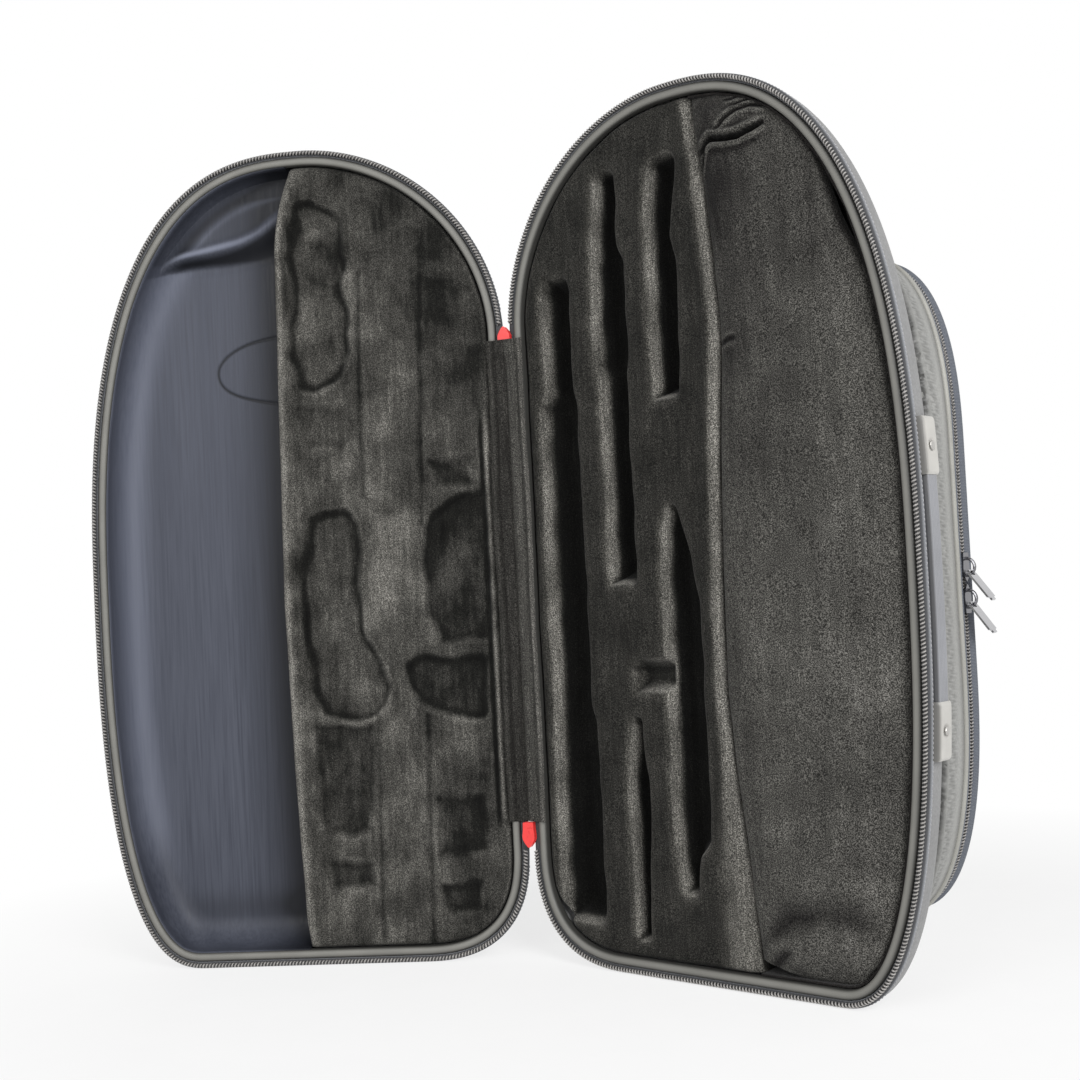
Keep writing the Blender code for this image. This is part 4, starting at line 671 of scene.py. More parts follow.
def inset_line(inset, step=0.4 * MM):
    """The case outline moved inwards."""
    line = resample(case_outline(), step)
    return line + normals_in(line) * inset


def side_chain(line, near_side):
    """One side of an inset outline from its foot to its top, as rising z and its u."""
    apex = line[int(np.argmax(line[:, 1])), 0]
    foot = line[:, 1].min()
    side = line[line[:, 0] <= apex] if near_side else line[line[:, 0] >= apex]
    low = side[side[:, 1] < foot + 1e-5][:, 0]
    start = low.min() if near_side else low.max()
    side = side[side[:, 1] >= foot + 1e-5]
    return np.vstack([[(start, foot)], side[np.argsort(side[:, 1])]])


def chain_rows(chain, step):
    """Heights at equal steps along a side chain."""
    length = lengths(chain)
    wanted = np.linspace(0.0, length[-1], int(length[-1] / step) + 1)
    heights = np.interp(wanted, length, chain[:, 1])
    return heights[np.concatenate([[True], np.diff(heights) > 0.02 * MM])]


def chain_u(chain, z):
    """Where a side chain lies at heights."""
    return np.interp(z, chain[:, 1], chain[:, 0])


def plan_tree(line):
    """A search tree over the points of a line."""
    tree = kdtree.KDTree(len(line))
    for index, (a, b) in enumerate(line):
        tree.insert((a, b, 0.0), index)
    tree.balance()
    return tree


def distance_to(line, u, z, closed=True):
    """Distance of plan points from a line of points."""
    tree = plan_tree(line)
    flat = np.stack([u.ravel(), z.ravel()], axis=1)
    nearest = np.fromiter((tree.find((a, b, 0.0))[1] for a, b in flat), int, len(flat))
    best = np.full(len(flat), np.inf)
    count = len(line)
    for first, second in ((nearest - 1, nearest), (nearest, nearest + 1)):
        if closed:
            first, second = first % count, second % count
        else:
            first, second = np.clip(first, 0, count - 1), np.clip(second, 0, count - 1)
        edge = line[second] - line[first]
        size = np.maximum((edge ** 2).sum(axis=1), 1e-16)
        share = np.clip(((flat - line[first]) * edge).sum(axis=1) / size, 0.0, 1.0)
        gap = np.linalg.norm(flat - line[first] - edge * share[:, None], axis=1)
        best = np.minimum(best, gap)
    return best.reshape(u.shape)


def signed_distance(polygon, u, z):
    """Distance inside a closed polygon, negative outside."""
    best = np.full(u.shape, np.inf)
    inside = np.zeros(u.shape, dtype=bool)
    for a, b in zip(np.roll(polygon, 1, axis=0), polygon):
        edge = b - a
        size = edge @ edge
        if size < 1e-14:
            continue
        share = np.clip(((u - a[0]) * edge[0] + (z - a[1]) * edge[1]) / size, 0.0, 1.0)
        gap = (u - a[0] - share * edge[0]) ** 2 + (z - a[1] - share * edge[1]) ** 2
        best = np.minimum(best, gap)
        if edge[1]:
            crossed = (a[1] > z) != (b[1] > z)
            inside ^= crossed & (u < edge[0] * (z - a[1]) / edge[1] + a[0])
    best = np.sqrt(best)
    return np.where(inside, best, -best)


def soften(path, rounds, closed=True):
    """Round the corners of a line."""
    for _ in range(rounds):
        after = np.roll(path, -1, axis=0)
        cuts = np.stack([path * 0.75 + after * 0.25, path * 0.25 + after * 0.75], axis=1)
        if closed:
            path = cuts.reshape(-1, 2)
        else:
            path = np.vstack([path[:1], cuts[:-1].reshape(-1, 2), path[-1:]])
    return path


# Edge of the foam in each half: shares of the case's height and of its width
TRAY_EDGE = ((-0.06, 0.596), (0.027, 0.588), (0.131, 0.573), (0.235, 0.549), (0.319, 0.537),
             (0.444, 0.541), (0.600, 0.553), (0.715, 0.569), (0.800, 0.560), (0.912, 0.541),
             (0.975, 0.524), (1.06, 0.512))
PAD_EDGE = ((-0.06, 0.520), (0.020, 0.522), (0.034, 0.528), (0.050, 0.532), (0.235, 0.545),
            (0.444, 0.552), (0.650, 0.546), (0.890, 0.538), (0.930, 0.525), (0.965, 0.504),
            (0.985, 0.488), (1.06, 0.440))


def edge_line(shares, z):
    """An edge across a half at heights, with its corners smoothed."""
    height, across = np.array(shares).T
    total = np.zeros_like(z)
    shifts = np.linspace(-1, 1, 9) * 7 * MM
    for shift in shifts:
        total += np.interp((z + shift) / CASE_HEIGHT, height, across)
    return total / len(shifts) * CASE_WIDTH


def spread_rows(left, right, z, share):
    """Plan points at shares of the way between the ends of each row."""
    u = left[:, None] + (right - left)[:, None] * share[None, :]
    return u, np.broadcast_to(z[:, None], u.shape)


def foam_grid(edge, step, columns):
    """A grid over a half from its hinge side to the foam's edge.

    Returns u and z, and the distance from the border, the edge and the hinge side.
    """
    border = inset_line(SOFT_INSET)
    near, far = side_chain(border, True), side_chain(border, False)
    z = chain_rows(near, step)
    z = z[z < near[-1, 1] - 0.05 * MM]
    left = chain_u(near, z)
    right = np.minimum(edge_line(edge, z), chain_u(far, z))
    u, zz = spread_rows(left, right, z, np.linspace(0.0, 1.0, columns))
    return u, zz, distance_to(border, u, zz), right[:, None] - u, u - left[:, None]


def rolled(gap, width):
    """Fall of a round edge: 1 at the edge, 0 from a width inside it."""
    share = np.clip(1 - gap / width, 0.0, 1.0)
    return 1 - np.sqrt(1 - share ** 2)


# Shells, bands and zips


def build_shell(half, depth, fillet):
    """A hard shell with a rolled lip and a rounded back."""
    turns = np.linspace(0, math.pi / 2, 14)
    rear = depth - fillet
    outer = [(2.2 * MM, 5.0 * MM), (1.2 * MM, 4.75 * MM), (0.45 * MM, 5.0 * MM),
             (0.1 * MM, 5.6 * MM), (0.0, 6.6 * MM), (0.0, rear - 2.5 * MM), (0.0, rear)]
    outer += [(fillet * (1 - math.cos(t)), rear + fillet * math.sin(t)) for t in turns[1:]]
    wall = 2.4 * MM
    inside = fillet - wall
    inner = [(wall, 5.4 * MM), (wall, rear)]
    inner += [(wall + inside * (1 - math.cos(t)), rear + inside * math.sin(t))
              for t in turns[2::3]]
    piece(f"{half}_shell_skin", dish(RING, RING_IN, np.array(outer[::-1] + inner)), half,
          SHELL_SKIN, half, (f"{half}_shell",), 60)


def build_rim(half):
    """The smooth rounded binding inside the zip, with painted shade along both its edges."""
    section = [(3.55, 8.6), (3.55, 3.0), (3.75, 2.1), (4.3, 1.55), (5.1, 1.3), (6.1, 1.25),
               (7.1, 1.4), (7.8, 1.85), (8.25, 2.6), (8.4, 3.6), (8.4, 6.2), (8.0, 7.4),
               (6.4, 7.9), (5.2, 8.6)]
    # Painted shade: dark lines along both edges of the band and on its hidden sides.
    shade = [1.0, 1.0, 1.0, 0.85, 0.30, 0.0, 0.0, 0.22, 0.72, 1.0, 1.0, 1.0, 1.0, 1.0]
    piece(f"{half}_rim_skin", sweep(RING, RING_IN, np.array(section) * MM), half, RIM_SKIN,
          half, (f"{half}_rim_band",), painted_shading=np.tile(shade, len(RING)) * 0.9)


def zip_run():
    """Stations of the case outline that carry the zip coil."""
    near, height = RING[:, 0] < 60 * MM, RING[:, 1]
    keep = ~(near & (height > COIL_GAP[0]) & (height < COIL_GAP[1]))
    return open_run(RING, RING_IN, keep)


def build_zip(half):
    """Tape that wraps the lip, its stitches, and the coil on its edge, with painted shade round
    the coil.
    """
    section = [(3.3, 9.0), (3.3, 3.2), (2.9, 2.65), (2.0, 2.5), (0.9, 2.45), (0.1, 2.6),
               (-0.45, 3.1), (-0.7, 3.9), (-0.6, 5.4), (-0.35, 7.0), (-0.05, 7.1),
               (-0.05, 6.6), (-0.1, 5.4), (-0.12, 4.2), (0.1, 3.5), (0.8, 3.0), (2.0, 3.0),
               (2.6, 3.4), (2.75, 9.0)]
    # Painted shade on the tape round the coil and along its outer edge.
    shade = [1.0 if depth < 3.15 else 0.55 if depth < 4.0 and inset < 0 else 0.0
             for inset, depth in section]
    piece(f"{half}_zip_tape_cloth", sweep(RING, RING_IN, np.array(section) * MM), half, TAPE,
          half, (f"{half}_zip_tape",), painted_shading=np.tile(shade, len(RING)) * 0.92)
    run, run_in = zip_run()
    seam = stitches(run[6:-6], run_in[6:-6], (-0.62, 5.6, 1.7, 0.20, 2.3, 0.5))
    piece(f"{half}_zip_stitches", seam, half, THREAD, half, ())
    winding, painted_shading = coil(run, run_in, (1.30, 1.45, 0.90, 0.44, 1.93))
    piece(f"{half}_zip_coil_wire", winding, half, COIL, half, (f"{half}_zip_coil",),
          painted_shading=painted_shading)


for half_name, shell_depth, back_fillet in (("base", 0.032, 0.020), ("lid", 0.030, 0.018)):
    build_shell(half_name, shell_depth, back_fillet)
    build_rim(half_name)
    build_zip(half_name)

# Instrument tray


def channel_shape(place_mm, shares):
    """A softened outline of a channel."""
    bottom, length, left, width = (value * MM for value in place_mm)
    near = [(left + a * width, bottom + s * length) for s, a, _ in shares]
    far = [(left + b * width, bottom + s * length) for s, _, b in shares]
    return soften(resample(np.array(near + far[::-1]), 4 * MM), 2)


# Channels: bottom, length, left and width in mm, depth of the floor and half width in mm,
# squareness, and the outline as shares of the length and of the width
CHANNELS = (
    ((23, 368, 16.5, 32.5), 24.0, 13.0, 2.2,
     ((0, .08, .92), (.02, 0, 1), (.31, 0, 1), (.33, .04, .91), (.80, .04, .91),
      (.82, .17, .85), (.98, .17, .85), (1, .30, .75))),
    ((213, 232, 60, 24), 24.0, 10.5, 2.2,
     ((0, .12, .92), (.50, .12, .92), (.53, 0, 1), (.77, 0, 1), (.80, .08, .84),
      (.98, .20, .80), (1, .35, .70))),
    ((313, 132, 98.5, 23), 24.0, 9.0, 2.2,
     ((0, .04, .80), (.55, .04, .88), (.66, .04, .72), (.78, .06, .90), (.97, .15, 1),
      (1, .35, .88))),
    ((45, 211, 98.5, 24), 22.0, 9.0, 2.2,
     ((0, .20, .60), (.10, .02, .62), (.14, 0, 1), (.75, 0, 1), (.86, .03, .86),
      (.93, .08, .66), (1, .28, .46))),
    ((18, 122, 69, 14), 21.0, 5.0, 2.2,
     ((0, .10, .70), (.30, .05, .75), (.55, .05, .98), (.72, .05, .98), (.84, .20, .80),
      (1, .42, .74))),
    ((153, 20, 75, 30), 15.0, 8.0, 2.0, ((0, .08, 1), (.30, 0, 1), (.80, 0, 1), (1, .20, 1))),
)

# A channel's lip starts this far outside its outline, and is this wide
LIP_OUT = 3.4 * MM
LIP_SPAN = 6.6 * MM


def trough(reach, half_width, square):
    """Share of a channel's depth at a distance inside its edge: a soft lip, a round floor."""
    share = np.clip((reach + LIP_OUT) / LIP_SPAN, 0.0, 1.0)
    eased = np.where(share < 1.0, (LIP_SPAN - LIP_OUT) * share ** 2.6, reach)
    ratio = np.clip(1 - np.clip(eased, 0, None) / half_width, 0.0, 1.0)
    return 1 - ratio ** square


def blur(field, size):
    """Mean of a grid over a square window."""
    for axis in (0, 1):
        pad = [(size, size) if k == axis else (0, 0) for k in range(2)]
        wide = np.cumsum(np.pad(field, pad, mode="edge"), axis=axis)
        first = [slice(None)] * 2
        second = [slice(None)] * 2
        first[axis] = slice(2 * size, None)
        second[axis] = slice(0, -2 * size)
        field = (wide[tuple(first)] - wide[tuple(second)]) / (2 * size)
    return field


def build_tray():
    """Velour over moulded foam, sunk in stepped channels with soft lips, with painted highlight
    on crests and upper channel walls and painted shade deep in the channels.
    """
    u, z, gap, away, _ = foam_grid(TRAY_EDGE, 0.85 * MM, 232)
    front = 5.0 * MM
    depth = np.full(u.shape, front)
    depth += 0.40 * MM * wave_noise(u, z, 0.060, 3) + 0.14 * MM * wave_noise(u, z, 0.019, 4)
    sunk = np.zeros(u.shape)
    for place_mm, floor, half_width, square, shares in CHANNELS:
        reach = signed_distance(channel_shape(place_mm, shares), u, z)
        reach = reach + 0.40 * MM * wave_noise(u, z, 0.026, int(place_mm[0]))
        amount = trough(reach, half_width * MM, square)
        sunk = np.maximum(sunk, amount * (floor * MM - front))
    flat = sunk < 6 * MM
    low = 1 - smooth_step(z, 40 * MM, 130 * MM)
    depth = depth + sunk + 3.0 * MM * rolled(gap, 3.0 * MM) * flat
    depth = depth + 5.0 * MM * rolled(away, 6.0 * MM + 8.0 * MM * low) * flat
    depth = depth - 0.9 * MM * bell(away, 7.0 * MM, 4.0 * MM) * flat
    # Painted shading: lighter on crests, lips, upper channel walls and near the foam's edge,
    # darker deep in the channels.
    crest = (blur(depth, 5) - depth) / (1.2 * MM)
    painted_shading = 0.36 + 0.22 * np.clip(crest, -1.0, 0.8)
    turned = smooth_step(sunk, 0.4 * MM, 2.6 * MM) * (1 - smooth_step(sunk, 6 * MM, 12 * MM))
    painted_shading = painted_shading + 0.36 * turned * (0.75 + 0.25 * wave_noise(u, z, 0.040, 8))
    painted_shading = painted_shading - 0.80 * smooth_step(sunk, 8.0 * MM, 15.0 * MM)
    flare = 3.6 * MM + 9.0 * MM * low
    painted_shading = painted_shading + 0.36 * (1 - smooth_step(away, flare, 2.2 * flare)) * flat
    shape, painted_shading = foam_block(np.stack([u, depth, z], axis=-1), 25.2 * MM, 28.5 * MM, painted_shading)
    item = piece("tray_velour_top", shape, "base", TRAY_VELOUR, "base", ("instrument_tray",),
                 painted_shading=painted_shading)


build_tray()

# Cushion


def fold(u, z, path, half_width, deep, lip):
    """Depth of a crease along a path, with a roll on each side of it.

    Positive goes into the cushion. The crease fades at both ends.
    """
    path = resample(np.array(path) * MM, 1.0 * MM, False)
    flat = np.stack([u.ravel(), z.ravel()], axis=1)
    tree = plan_tree(path)
    total = np.zeros(len(flat))
    low = path.min(axis=0) - 5 * half_width * MM
    high = path.max(axis=0) + 5 * half_width * MM
    inside = np.all((flat > low) & (flat < high), axis=1)
    for index in np.nonzero(inside)[0]:
        _, near, gap = tree.find((*flat[index], 0.0))
        share = near / (len(path) - 1)
        fade = min(1.0, 4.5 * share) * min(1.0, 4.5 * (1 - share))
        side = gap / (half_width * MM)
        crease = deep * math.exp(-side ** 1.6)
        roll = lip * math.exp(-((side - 2.0) / 1.1) ** 2)
        total[index] = (crease - roll) * fade ** 0.7 * MM
    return total.reshape(u.shape)


# Folds: path in mm, half width, depth and height of the roll beside it in mm
CUSHION_FOLDS = (
    ([(139, 436), (145, 441), (148.5, 443.2), (157, 441.6), (165, 441.0), (173, 443.0),
      (180.5, 445.6)], 1.5, 7.0, 2.4),
    ([(138, 424), (140.5, 430), (142.6, 434), (146, 441)], 1.2, 3.4, 1.0),
    ([(152, 446), (158, 451.5), (165, 455.0), (172, 456.0), (181, 453.5)], 1.1, 2.6, 1.1),
    ([(160, 458.5), (165, 458.0), (172, 460.2), (178, 459.2)], 0.9, 2.2, 0.8),
    ([(156, 462.5), (161, 461.6), (166, 463.4)], 0.8, 1.6, 0.6),
    ([(141, 336.5), (147, 336.4), (153, 338.0), (158, 337.6)], 1.3, 1.4, 0.5),
    ([(188, 452), (196, 444), (204, 433)], 1.8, 0.9, 0.4),
    ([(147, 18), (158, 30), (172, 40), (190, 44), (206, 43), (222, 36)], 8.5, 1.3, 0.7),
    ([(156, 12), (163, 19), (172, 25)], 3.0, 1.2, 0.6),
)


def mesh_points(mesh):
    """The points of a mesh."""
    points = np.empty(len(mesh.vertices) * 3)
    mesh.vertices.foreach_get("co", points)
    return points.reshape(-1, 3)


def puffed_crown(z, low, high, u, zz):
    """Share of the crown over plan points, from a pressure simulation of a plain cushion."""
    height = np.linspace(z[0] + 4 * MM, z[-1] - 4 * MM, 44)
    left = np.interp(height, z, low) + 2.5 * MM
    right = np.interp(height, z, high) - 2.5 * MM
    across, up = spread_rows(left, right, height, np.linspace(0, 1, 15))
    flat = 3.0 * MM
    front = np.stack([across, np.full(across.shape, flat), up], axis=-1)
    plain = make_object("plain_cushion", *closed_skin(front, 11.0 * MM))
    remesh = plain.modifiers.new("remesh", "REMESH")
    remesh.mode = "VOXEL"
    remesh.voxel_size = 5.0 * MM
    graph = bpy.context.evaluated_depsgraph_get()
    ready = bpy.data.meshes.new_from_object(plain.evaluated_get(graph))
    bpy.data.objects.remove(plain)
    start = mesh_points(ready)
    soft = bpy.data.objects.new("puffed_cushion", ready)
    bpy.context.scene.collection.objects.link(soft)
    cloth = soft.modifiers.new("cloth", "CLOTH")
    cloth.settings.use_pressure = True
    cloth.settings.uniform_pressure_force = 4.0
    cloth.settings.effector_weights.gravity = 0.0
    frames, most_move = 20, 8 * MM
    cloth.point_cache.frame_start = 1
    cloth.point_cache.frame_end = frames
    for step in range(1, frames + 1):
        bpy.context.scene.frame_set(step)
    graph = bpy.context.evaluated_depsgraph_get()
    move = mesh_points(soft.evaluated_get(graph).to_mesh()) - start
    size = np.linalg.norm(move, axis=1)
    move *= (np.minimum(size, most_move) / np.maximum(size, 1e-9))[:, None]
    quads = [tuple(face.vertices) for face in ready.polygons]
    tree = BVHTree.FromPolygons((start + move).tolist(), quads)
    bpy.data.objects.remove(soft)
    bpy.context.scene.frame_set(1)
    crown = np.zeros(u.shape)
    for index in np.ndindex(*u.shape):
        hit = tree.ray_cast((u[index], -0.1, zz[index]), (0.0, 1.0, 0.0))[0]
        crown[index] = flat - hit.y if hit is not None else -most_move
    crown = blur(crown, 3)
    return np.clip((crown - crown.min()) / max(crown.max() - crown.min(), 1e-9), 0, 1) ** 1.2


def build_cushion():
    """The stuffed cushion over the accessory compartment, with gathered folds at its top. Its
    colour carries painted highlight on crests and painted shade in the folds, along its edges
    and towards the top.
    """
    far = side_chain(inset_line(9.1 * MM), False)
    z = chain_rows(far, 1.1 * MM)
    z = z[(z > 9.4 * MM) & (z < 470.4 * MM)]
    low = edge_line(TRAY_EDGE, z) + 0.6 * MM
    high = chain_u(far, z)
    keep = high - low > 6 * MM
    z, low, high = z[keep], low[keep], high[keep]
    low = low + (1 - smooth_step(z, 8.0 * MM, 17.0 * MM)) * 24.0 * MM
    high = high - 5.5 * MM * bell(z, 392 * MM, 24 * MM) - 1.5 * MM * bell(z, 330 * MM, 30 * MM)
    high = high - 2.0 * MM * bell(z, 17 * MM, 4 * MM)
    rows, columns = len(z), 120
    even = np.linspace(0, 1, columns)
    share = 0.5 * (0.5 - 0.5 * np.cos(math.pi * even)) + 0.5 * even
    u, zz = spread_rows(low, high, z, share)
    across = np.broadcast_to(share[None, :], u.shape)
    along = (zz - z[0]) / (z[-1] - z[0])
    left_side = np.sqrt(np.clip(1 - np.abs(np.minimum(2 * across - 1, 0)) ** 9.0, 0, 1))
    right_side = np.sqrt(np.clip(1 - np.maximum(2 * across - 1, 0) ** 4.0, 0, 1))
    ends = np.sqrt(np.clip(1 - np.abs(2 * along - 1) ** 18.0, 0, 1))
    swell = left_side * right_side * ends
    seam = 9.6 * MM
    rounded = 1.9 * puffed_crown(z, low, high, u, zz)
    lumps = 0.55 * wave_noise(u, zz, 0.085, 11) + 0.26 * wave_noise(u, zz, 0.034, 12)
    lumps += 0.9 * bell(zz, 45 * MM, 35 * MM) * wave_noise(u, zz, 0.042, 13)
    lumps += 1.1 * bell(zz, 17 * MM, 12 * MM) * bell(u, 190 * MM, 20 * MM)
    sunk = sum(fold(u, zz, *crease) for crease in CUSHION_FOLDS)
    sunk -= 1.8 * MM * bell(zz, 453 * MM, 9 * MM) * bell(u, 158 * MM, 17 * MM)
    top = seam - swell * (7.4 + rounded + lumps) * MM + sunk * np.clip(swell * 1.3, 0, 1)
    top = np.minimum(top, seam + 4.0 * MM)
    under = np.maximum(seam + swell * 7.0 * MM, top + 1.2 * MM * swell)
    # Painted shading: lighter on crests, darker in folds, along both long edges and towards the
    # top.
    crest = (blur(top, 4) - top) / (0.9 * MM)
    painted_shading = 0.50 + 0.24 * np.clip(crest, -1.0, 0.8)
    painted_shading = painted_shading - 0.35 * np.clip(sunk / (3.0 * MM), 0, 1)
    painted_shading = painted_shading - 0.35 * smooth_step(across, 0.95, 1.0)
    painted_shading = painted_shading - 0.30 * smooth_step(0.012 - across, 0, 0.012)
    painted_shading = painted_shading - 0.13 * smooth_step(zz, 240 * MM, 420 * MM)
    upper = np.stack([u, top, zz], axis=-1).reshape(-1, 3)
    inner = np.stack([u, under, zz], axis=-1)[1:-1, 1:-1].reshape(-1, 3)
    number = np.arange(rows * columns).reshape(rows, columns)
    number[1:-1, 1:-1] = rows * columns + np.arange(len(inner)).reshape(rows - 2, -1)
    faces = grid_faces(rows, columns)
    faces += number.ravel()[np.array(faces)[:, ::-1]].tolist()
    item = piece("cushion_velour_cover", (np.vstack([upper, inner]), faces), "base",
                 CUSHION_VELOUR, "base", ("accessory_cushion",),
                 painted_shading=np.clip(painted_shading, 0, 1).ravel())


build_cushion()

# The lid's pad and lining

# Marks of keys: outline in mm, depth, softness of the edge, painted shade inside
DENTS = (
    (((123.9, 448.4), (114.3, 451), (101.2, 444.4), (94, 438.9), (93.3, 427.2), (96.4, 417.5),
      (92.8, 408.9), (96, 398.5), (92.6, 385.7), (92.4, 375.7), (94.7, 368.6), (92.6, 357.6),
      (95.7, 347.8), (106.1, 340.2), (114.7, 335.8), (124.6, 339.7), (129.6, 354.9),
      (129.7, 374.9), (126.4, 394.6), (128.7, 418.1)), 3.0, 2.4, 0.25),
    (((127.5, 328.3), (96.7, 327.1), (93.4, 313), (97.9, 301.7), (121.4, 301.5),
      (127.6, 311.7)), 1.0, 3.0, 0.25),
    (((121.5, 261.9), (112.9, 267.3), (99.6, 265.6), (92.7, 257), (92.8, 234), (93.3, 211.1),
      (91.4, 194.6), (83.9, 177.9), (77.5, 159.7), (80.4, 148.4), (88.9, 142.3),
      (105.6, 140.4), (118.8, 143.6), (124.2, 156.9), (127.1, 180), (129.8, 206.4),
      (129.5, 235.9), (124.5, 248.8)), 2.8, 2.4, 0.25),
    (((53.2, 251.6), (48.3, 262.8), (36.4, 270.3), (16.5, 274.1), (15.1, 249.5),
      (18.4, 184.6), (47.3, 184.4), (53.8, 199.4), (55.1, 225.5)), 2.6, 2.6, 0.62),
    (((69.3, 172.4), (57.4, 178.3), (41, 177.6), (19.8, 175), (21.6, 139.4), (46.1, 142.1),
      (62.1, 150.9), (68.3, 159.3)), 2.6, 2.6, 0.5),
    (((125, 139.9), (89.1, 139), (86.9, 116.1), (89.5, 96.7), (92.2, 74.1), (118.8, 73.4),
      (126.2, 91.6)), 1.7, 3.0, 0.55),
    (((117.8, 58.8), (92.9, 59.5), (92.1, 43.3), (116.9, 42.5)), 1.3, 3.0, 0.65),
    (((54.9, 95.4), (25.4, 95.9), (23.9, 61.9), (53.4, 59.8)), 1.3, 3.2, 0.6),
    (((54.2, 43.6), (27.9, 46), (30.4, 28.3), (48.5, 25.7)), 1.8, 2.8, 0.62),
    (((56.5, 399.8), (33.4, 398.2), (31.4, 371.7), (54.5, 373.3)), 0.8, 4.0, 0.25),
    (((50.2, 292.4), (25.4, 292.6), (23, 276.1), (42.8, 275.6)), 1.4, 3.0, 0.45),
)
# Humps inside the marks, lightened as painted highlight: middle in mm, reach across and along
# in mm, height in mm
ISLANDS = (
    ((111, 384), 9.0, 13.0, 1.8), ((112, 430), 5.0, 4.0, 1.4), ((110, 410), 5.0, 5.0, 0.9),
    ((108, 230), 10.0, 24.0, 1.0), ((38, 225), 11.0, 20.0, 0.9),
)
# Faint creases up the pad, with painted shade along them: paths in mm
CREASES = (
    ((86.3, 405.2), (88.8, 339.1), (89.3, 273.3)), ((49.8, 401), (52.6, 323.7), (55, 255)),
    ((86.2, 143.8), (88.1, 77.2), (88.6, 12.4)), ((56.6, 142.5), (58.5, 76.1), (59.7, 11.6)),
)


def build_pad():
    """The velour pad of the lid with the marks of keys, painted shade in and round them and
    painted highlight on crests.
    """
    u, z, gap, away, away_near = foam_grid(PAD_EDGE, 0.9 * MM, 200)
    depth = np.full(u.shape, 4.5 * MM)
    depth += 0.30 * MM * wave_noise(u, z, 0.050, 21) + 0.12 * MM * wave_noise(u, z, 0.018, 22)
    marks = np.zeros(u.shape)
    # Painted shade round and in the marks and along the creases, lightened on the humps.
    dark = np.zeros(u.shape)
    for number, (shape, deep, soft, fill_share) in enumerate(DENTS):
        outline = soften(resample(np.array(shape) * MM, 5 * MM), 2)
        reach = signed_distance(outline, u, z)
        reach = reach + 0.9 * MM * wave_noise(u, z, 0.022, 30 + number)
        marks = np.maximum(marks, deep * smooth_step(reach, -soft * MM * 0.7, soft * MM * 1.3))
        patchy = 0.62 + 0.38 * wave_noise(u, z, 0.030, 60 + number)
        dark = np.maximum(dark, patchy * deep / 3.0 * bell(reach, 2.0 * MM, 5.0 * MM))
        dark = np.maximum(dark, fill_share * smooth_step(reach, -1 * MM, 5 * MM))
    for (mid_u, mid_z), across, along, lift in ISLANDS:
        hump = bell(u, mid_u * MM, across * MM) * bell(z, mid_z * MM, along * MM)
        marks = marks - lift * hump
        dark = dark - 0.55 * hump
    for path in CREASES:
        line = resample(np.array(path) * MM, 1.0 * MM, False)
        beside = distance_to(line, u, z, False)
        marks = marks + 0.55 * bell(beside, 0.0, 1.6 * MM)
        dark = np.maximum(dark, 0.30 * bell(beside, 0.0, 2.6 * MM))
    hinged = smooth_step(z, 70 * MM, 90 * MM) * (1 - smooth_step(z, 300 * MM, 330 * MM))
    ridge = bell(away_near, 4.2 * MM, 1.4 * MM) * hinged
    valley = bell(away_near, 7.2 * MM, 1.3 * MM) * hinged
    depth = depth + (np.clip(marks, -0.4, None) - 0.9 * ridge + 0.9 * valley) * MM
    depth = depth + 3.0 * MM * rolled(gap, 3.0 * MM) + 4.0 * MM * rolled(away, 4.0 * MM)
    # Painted shading: lighter on crests, the ridge by the hinge and a broad middle patch,
    # darker in marks, the valley, near the hinge side and at its top.
    crest = (blur(depth, 5) - depth) / (0.8 * MM)
    painted_shading = 0.56 + 0.24 * np.clip(crest, -1.0, 0.9) - 0.38 * np.clip(dark, 0, 1)
    painted_shading = painted_shading + 0.16 * bell(u, 78 * MM, 16 * MM) * bell(z, 215 * MM, 75 * MM)
    painted_shading = painted_shading - 0.10 * smooth_step(z, 300 * MM, 380 * MM) * smooth_step(u, 0.095, 0.06)
    painted_shading = painted_shading - 0.25 * valley + 0.18 * ridge + 0.12 * bell(away, 3.5 * MM, 3.0 * MM)
    painted_shading = painted_shading + 0.05 * wave_noise(u, z, 0.035, 44) - 0.14 * smooth_step(away_near, 0.06, 0.0)
    shape, painted_shading = foam_block(np.stack([u, depth, z], axis=-1), 24.2 * MM, 26.8 * MM, painted_shading)
    item = piece("pad_velour_cover", shape, "lid", PAD_VELOUR, "lid", ("lid_pad",),
                 painted_shading=painted_shading)


# The moulded shelf's brow and the foot of its step, and the pressed oval, in mm
SHELF_BROW = ((120, 449), (137.7, 442.6), (147.3, 435.4), (160, 430.6), (178.7, 427.4),
              (197.5, 424.6), (207, 420.6), (219.9, 411.5), (229, 400), (246, 372))
SHELF_FOOT = ((120, 427), (137.7, 424.5), (149.1, 422.1), (169.3, 419.0), (194.4, 418.6),
              (210.2, 415.4), (223.2, 406.0), (231, 396), (248, 366))
OVAL_PRESS = ((120, 376), (145.1, 373.9), (162.1, 370.7), (174.9, 363.5), (180.3, 355.3),
              (177.7, 345.3), (166.7, 338.5), (145.2, 333.5), (120, 331))


def height_over(path, u, z):
    """How far above a path a plan point lies."""
    path = np.array(path) * MM
    shifts = np.linspace(-5, 5, 9) * MM
    return z - sum(np.interp(u + shift, path[:, 0], path[:, 1]) for shift in shifts) / 9


